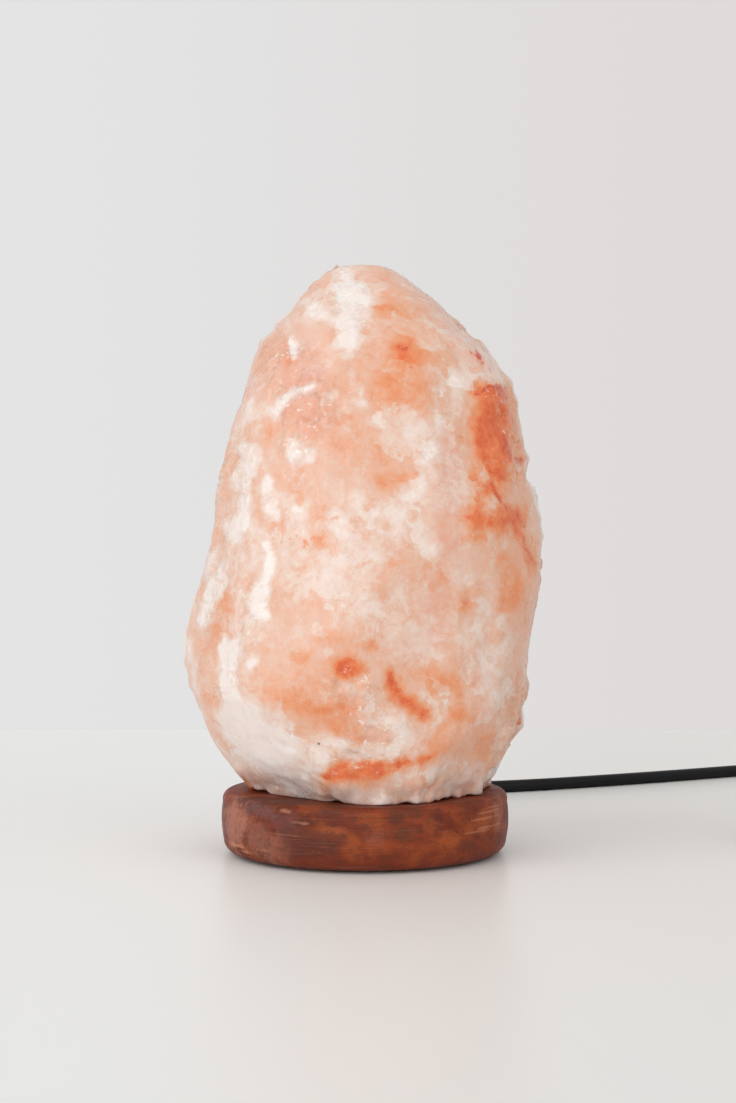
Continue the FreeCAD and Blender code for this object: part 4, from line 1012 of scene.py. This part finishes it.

# stains, worn places and painted sheen on the front: pixels across and down, half width, half
# height, strength. The first two kinds are painted sheen: the wood's gloss, lit mostly from the
# left, put into its colour
woodSpots = {
    "paintedSheen": [(236, 826, 17, 28, .8), (254, 830, 16, 14, .4), (262, 845, 26, 16, .45),
             (498, 812, 10, 16, .45)],
    "paintedGreySheen": [(261, 811, 18, 9, .7), (286, 822, 18, 12, .35), (376, 838, 12, 10, .3)],
    "stain": [(316, 842, 30, 14, .72), (332, 814, 13, 8, .59), (300, 852, 20, 8, .51),
              (352, 818, 6, 4, .51)],
    "moss": [(396, 818, 9, 9, .56), (401, 834, 13, 9, .52), (414, 812, 8, 7, .38),
             (466, 846, 12, 8, .3)],
    "amber": [(330, 831, 20, 4.5, .65), (372, 822, 15, 9, .36), (450, 840, 14, 10, .65),
              (352, 850, 12, 12, .36), (484, 824, 22, 13, .43), (432, 826, 9, 7, .36),
              (316, 808, 22, 3, .36)],
    "worn": [(238, 846, 9, 2.5, .7), (246, 852, 10, 2, .5), (262, 850, 7, 2, .4),
             (285, 811, 6, 2, .45), (303, 823, 10, 1.8, .4), (484, 818, 20, 1.3, .4),
             (488, 826, 16, 1.2, .4), (478, 831, 18, 1.2, .35), (490, 811, 14, 1.4, .4),
             (494, 806, 12, 1.2, .35)],
}


def woodPlace(u, v):
    # the place on the turned side that is seen at a pixel, and the size of a pixel there
    depth = -woodFinish["radius"]
    for turn in range(6):
        spot = fromPixel(u, v, depth)
        depth = -math.sqrt(max(woodFinish["radius"] ** 2 - spot.x ** 2, 0.0))
    return fromPixel(u, v, depth), (depth - view["place"][1]) / view["focal"]


def spotMask(kind, ragged):
    # how strongly any spot of a kind covers a place
    cover = 0.0
    place = addNode("TexCoord").outputs["Object"]
    for u, v, wide, high, strength in woodSpots[kind]:
        centre, pixel = woodPlace(u, v)
        scale = (1 / (wide * pixel), 1 / woodFinish["spotDepth"], 1 / (high * pixel))
        shift = tuple(-c * k for c, k in zip(centre, scale))
        moved = addNode("Mapping", {"Vector": place, "Scale": scale, "Location": shift})
        reach = vectorCalc("LENGTH", {0: moved.outputs[0]}, "Value")
        fade = between(total(reach, ragged), *woodFinish["spotFade"], strength, 0.0)
        cover = calc("MAXIMUM", fade, cover)
    return cover


def woodMaterial():
    mat = startMaterial("baseWood", Specular_IOR_Level=0.22)
    # the grain runs left to right, so it is stretched along X, and the lathe's marks run round
    grain = noiseAt(objectPlace((0.12, 1, 1)), 240, 6, 0.62, 0.3)
    fibre = noiseAt(objectPlace((0.05, 1, 1)), 900, 4, 0.6)
    lathe = noiseAt(objectPlace((0.03, 0.03, 1)), 1500, 3, 0.6)
    rings = noiseAt(objectPlace((0.2, 1, 1.4)), 55, 4, 0.55, 0.8)
    cloud = noiseAt(objectPlace(shift=(0.3, 0.1, 0.2)), 60, 6, 0.65)
    mottle = noiseAt(objectPlace(shift=(1.3, 0.4, 0.7)), 190, 6, 0.68)
    speckle = noiseAt(objectPlace((0.5, 1, 1), (0.2, 0.9, 0.4)), 620, 5, 0.7)
    dust = between(noiseAt(objectPlace(), 1200, 4, 0.7), 0.62, 0.72, 0, 0.45)
    body = ramp(rings, (0.32, woodFinish["dark"]), (0.5, woodFinish["mid"]),
                (0.68, woodFinish["light"]))
    body = layColours(body, woodFinish, (grain, 0.45, 0.7, 0.5, "dark"),
                      (cloud, 0.54, 0.68, 0.4, "amber"), (mottle, 0.54, 0.66, 0.4, "stain"))
    ragged = stirred(swing(cloud, 1.6), (mottle, 2.4))
    # spots of stain and colour, and painted sheen mostly on the left
    for kind in ("paintedSheen", "amber", "paintedGreySheen", "moss", "stain"):
        body = blendColour(spotMask(kind, ragged), body, woodFinish[kind])
    body = layColours(body, woodFinish, (fibre, 0.55, 0.75, 0.25, "light"),
                      (speckle, 0.5, 0.64, 0.45, "moss"), (lathe, 0.6, 0.72, 0.22, "worn"))
    for cover in (spotMask("worn", ragged), times(dust, between(cloud, 0.42, 0.6))):
        body = blendColour(cover, body, woodFinish["worn"])
    height = weighed((grain, 0.5), (fibre, 0.4), (lathe, 0.4))
    feed(Base_Color=body, Roughness=between(cloud, 0.3, 0.7, 0.42, 0.62),
         Normal=bump(height, 0.4, 0.0005))
    return mat


finishes["wood_base"] = woodMaterial()


# felt pads, with the edge of each rim taken off

pads = {"radius": 0.006, "thick": 0.001, "out": 0.042, "edge": 0.00025}


def makePads():
    form = bmesh.new()
    for quarter in range(4):
        turn = math.radians(45 + 90 * quarter)
        made = bmesh.ops.create_cone(form, cap_ends=True, segments=48, radius1=pads["radius"],
                                     radius2=pads["radius"], depth=pads["thick"])["verts"]
        bmesh.ops.translate(form, verts=made, vec=(pads["out"] * math.cos(turn),
                                                   pads["out"] * math.sin(turn),
                                                   pads["thick"] / 2))
    rims = [e for e in form.edges if abs(e.verts[0].co.z - e.verts[1].co.z) < 1e-7]
    bmesh.ops.bevel(form, geom=rims, offset=pads["edge"], segments=2, profile=0.5, material=-1,
                    affect="EDGES")
    piece = fromBmesh("feltPads", form, finishes["felt"])
    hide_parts("felt_pads")


makePads()
print("base and pads finished")


# the carried-over pieces take the finish of their slot

def dressNodes():
    slots = {entry["node"]: entry["material_slot"] for entry in frame["record"]["subparts"]}
    for name, node in frame["nodes"].items():
        if slots[name] in finishes:
            node.data.materials.clear()
            node.data.materials.append(finishes[slots[name]])


dressNodes()
print("nodes dressed")
# table, the pale wall behind it, and light

stageFinish = {
    # the table and the wall are painted darker towards the right: painted shade
    "table": (250, 250, 248), "tableShadedRight": (242, 240, 237),
    "halfSide": 3.0, "backEdge": 0.50,
    "wallLeft": (228, 228, 228), "wallShadedRight": (223, 219, 218), "light": 0.635,
}


def makeStage():
    mat = startMaterial("tableTop", Specular_IOR_Level=0.22, Roughness=0.32)
    across = addNode("SeparateXYZ", {"Vector": objectPlace()}).outputs["X"]
    across = total(across, times(noiseAt(objectPlace(), 3, 2), 0.1))
    # the top darkens towards the right: painted shade
    feed(Base_Color=ramp(between(across, -0.05, 0.2), (0.0, stageFinish["table"]),
                         (1.0, stageFinish["tableShadedRight"])))
    half = stageFinish["halfSide"]
    form = bmesh.new()
    bmesh.ops.create_grid(form, x_segments=8, y_segments=8, size=half)
    bmesh.ops.translate(form, verts=form.verts, vec=(0, stageFinish["backEdge"] - half, 0))
    mesh = bpy.data.meshes.new("table")
    form.to_mesh(mesh)
    form.free()
    mesh.materials.append(mat)
    table = addObject("table", mesh)


lamps = {
    "key": {"from": (-1.9, -1.25, 1.9), "broad": 0.7, "power": 0.62},
    "fill": {"from": (1.0, -1.3, 0.6), "broad": 0.9, "power": 0.36},
    "low": {"from": (-0.75, -1.5, 0.10), "broad": 0.8, "power": 1.12},
}


def makeLights():
    for name, lamp in lamps.items():
        data = bpy.data.lights.new(name, "SUN")
        data.angle = lamp["broad"]         # a broad window far off, in radians across
        data.energy = lamp["power"]
        light = addObject(name, data)
        light.location = lamp["from"]
        light.rotation_euler = (-Vector(lamp["from"])).to_track_quat("-Z", "Y").to_euler()


def makeSky():
    # an even white sky lights the lamp, and the eye and the gloss see the wall's colour, painted
    # darker towards the right: painted shade
    world = bpy.data.worlds.new("studio")
    world.use_nodes = True
    making["tree"] = world.node_tree
    sky = world.node_tree.nodes["Background"]
    sky.inputs["Color"].default_value = (1, 1, 1, 1)
    sky.inputs["Strength"].default_value = stageFinish["light"]
    way = addNode("TexCoord").outputs["Generated"]
    across = addNode("SeparateXYZ", {"Vector": way}).outputs["X"]
    colour = ramp(between(across, -0.2, 0.2), (0.0, stageFinish["wallLeft"]),
                  (1.0, stageFinish["wallShadedRight"]))
    wall = addNode("Background", {"Color": colour, "Strength": 1.0})
    ray = addNode("LightPath").outputs
    seen = calc("ADD", calc("ADD", ray["Is Camera Ray"], ray["Is Glossy Ray"]),
                ray["Is Transmission Ray"], clamp=True)
    both = addNode("MixShader", {0: seen, 1: sky.outputs[0], 2: wall.outputs[0]})
    setSocket(world.node_tree.nodes["World Output"].inputs["Surface"], both.outputs[0])
    scene.world = world


makeStage()
makeLights()
makeSky()
print("stage and lights set")
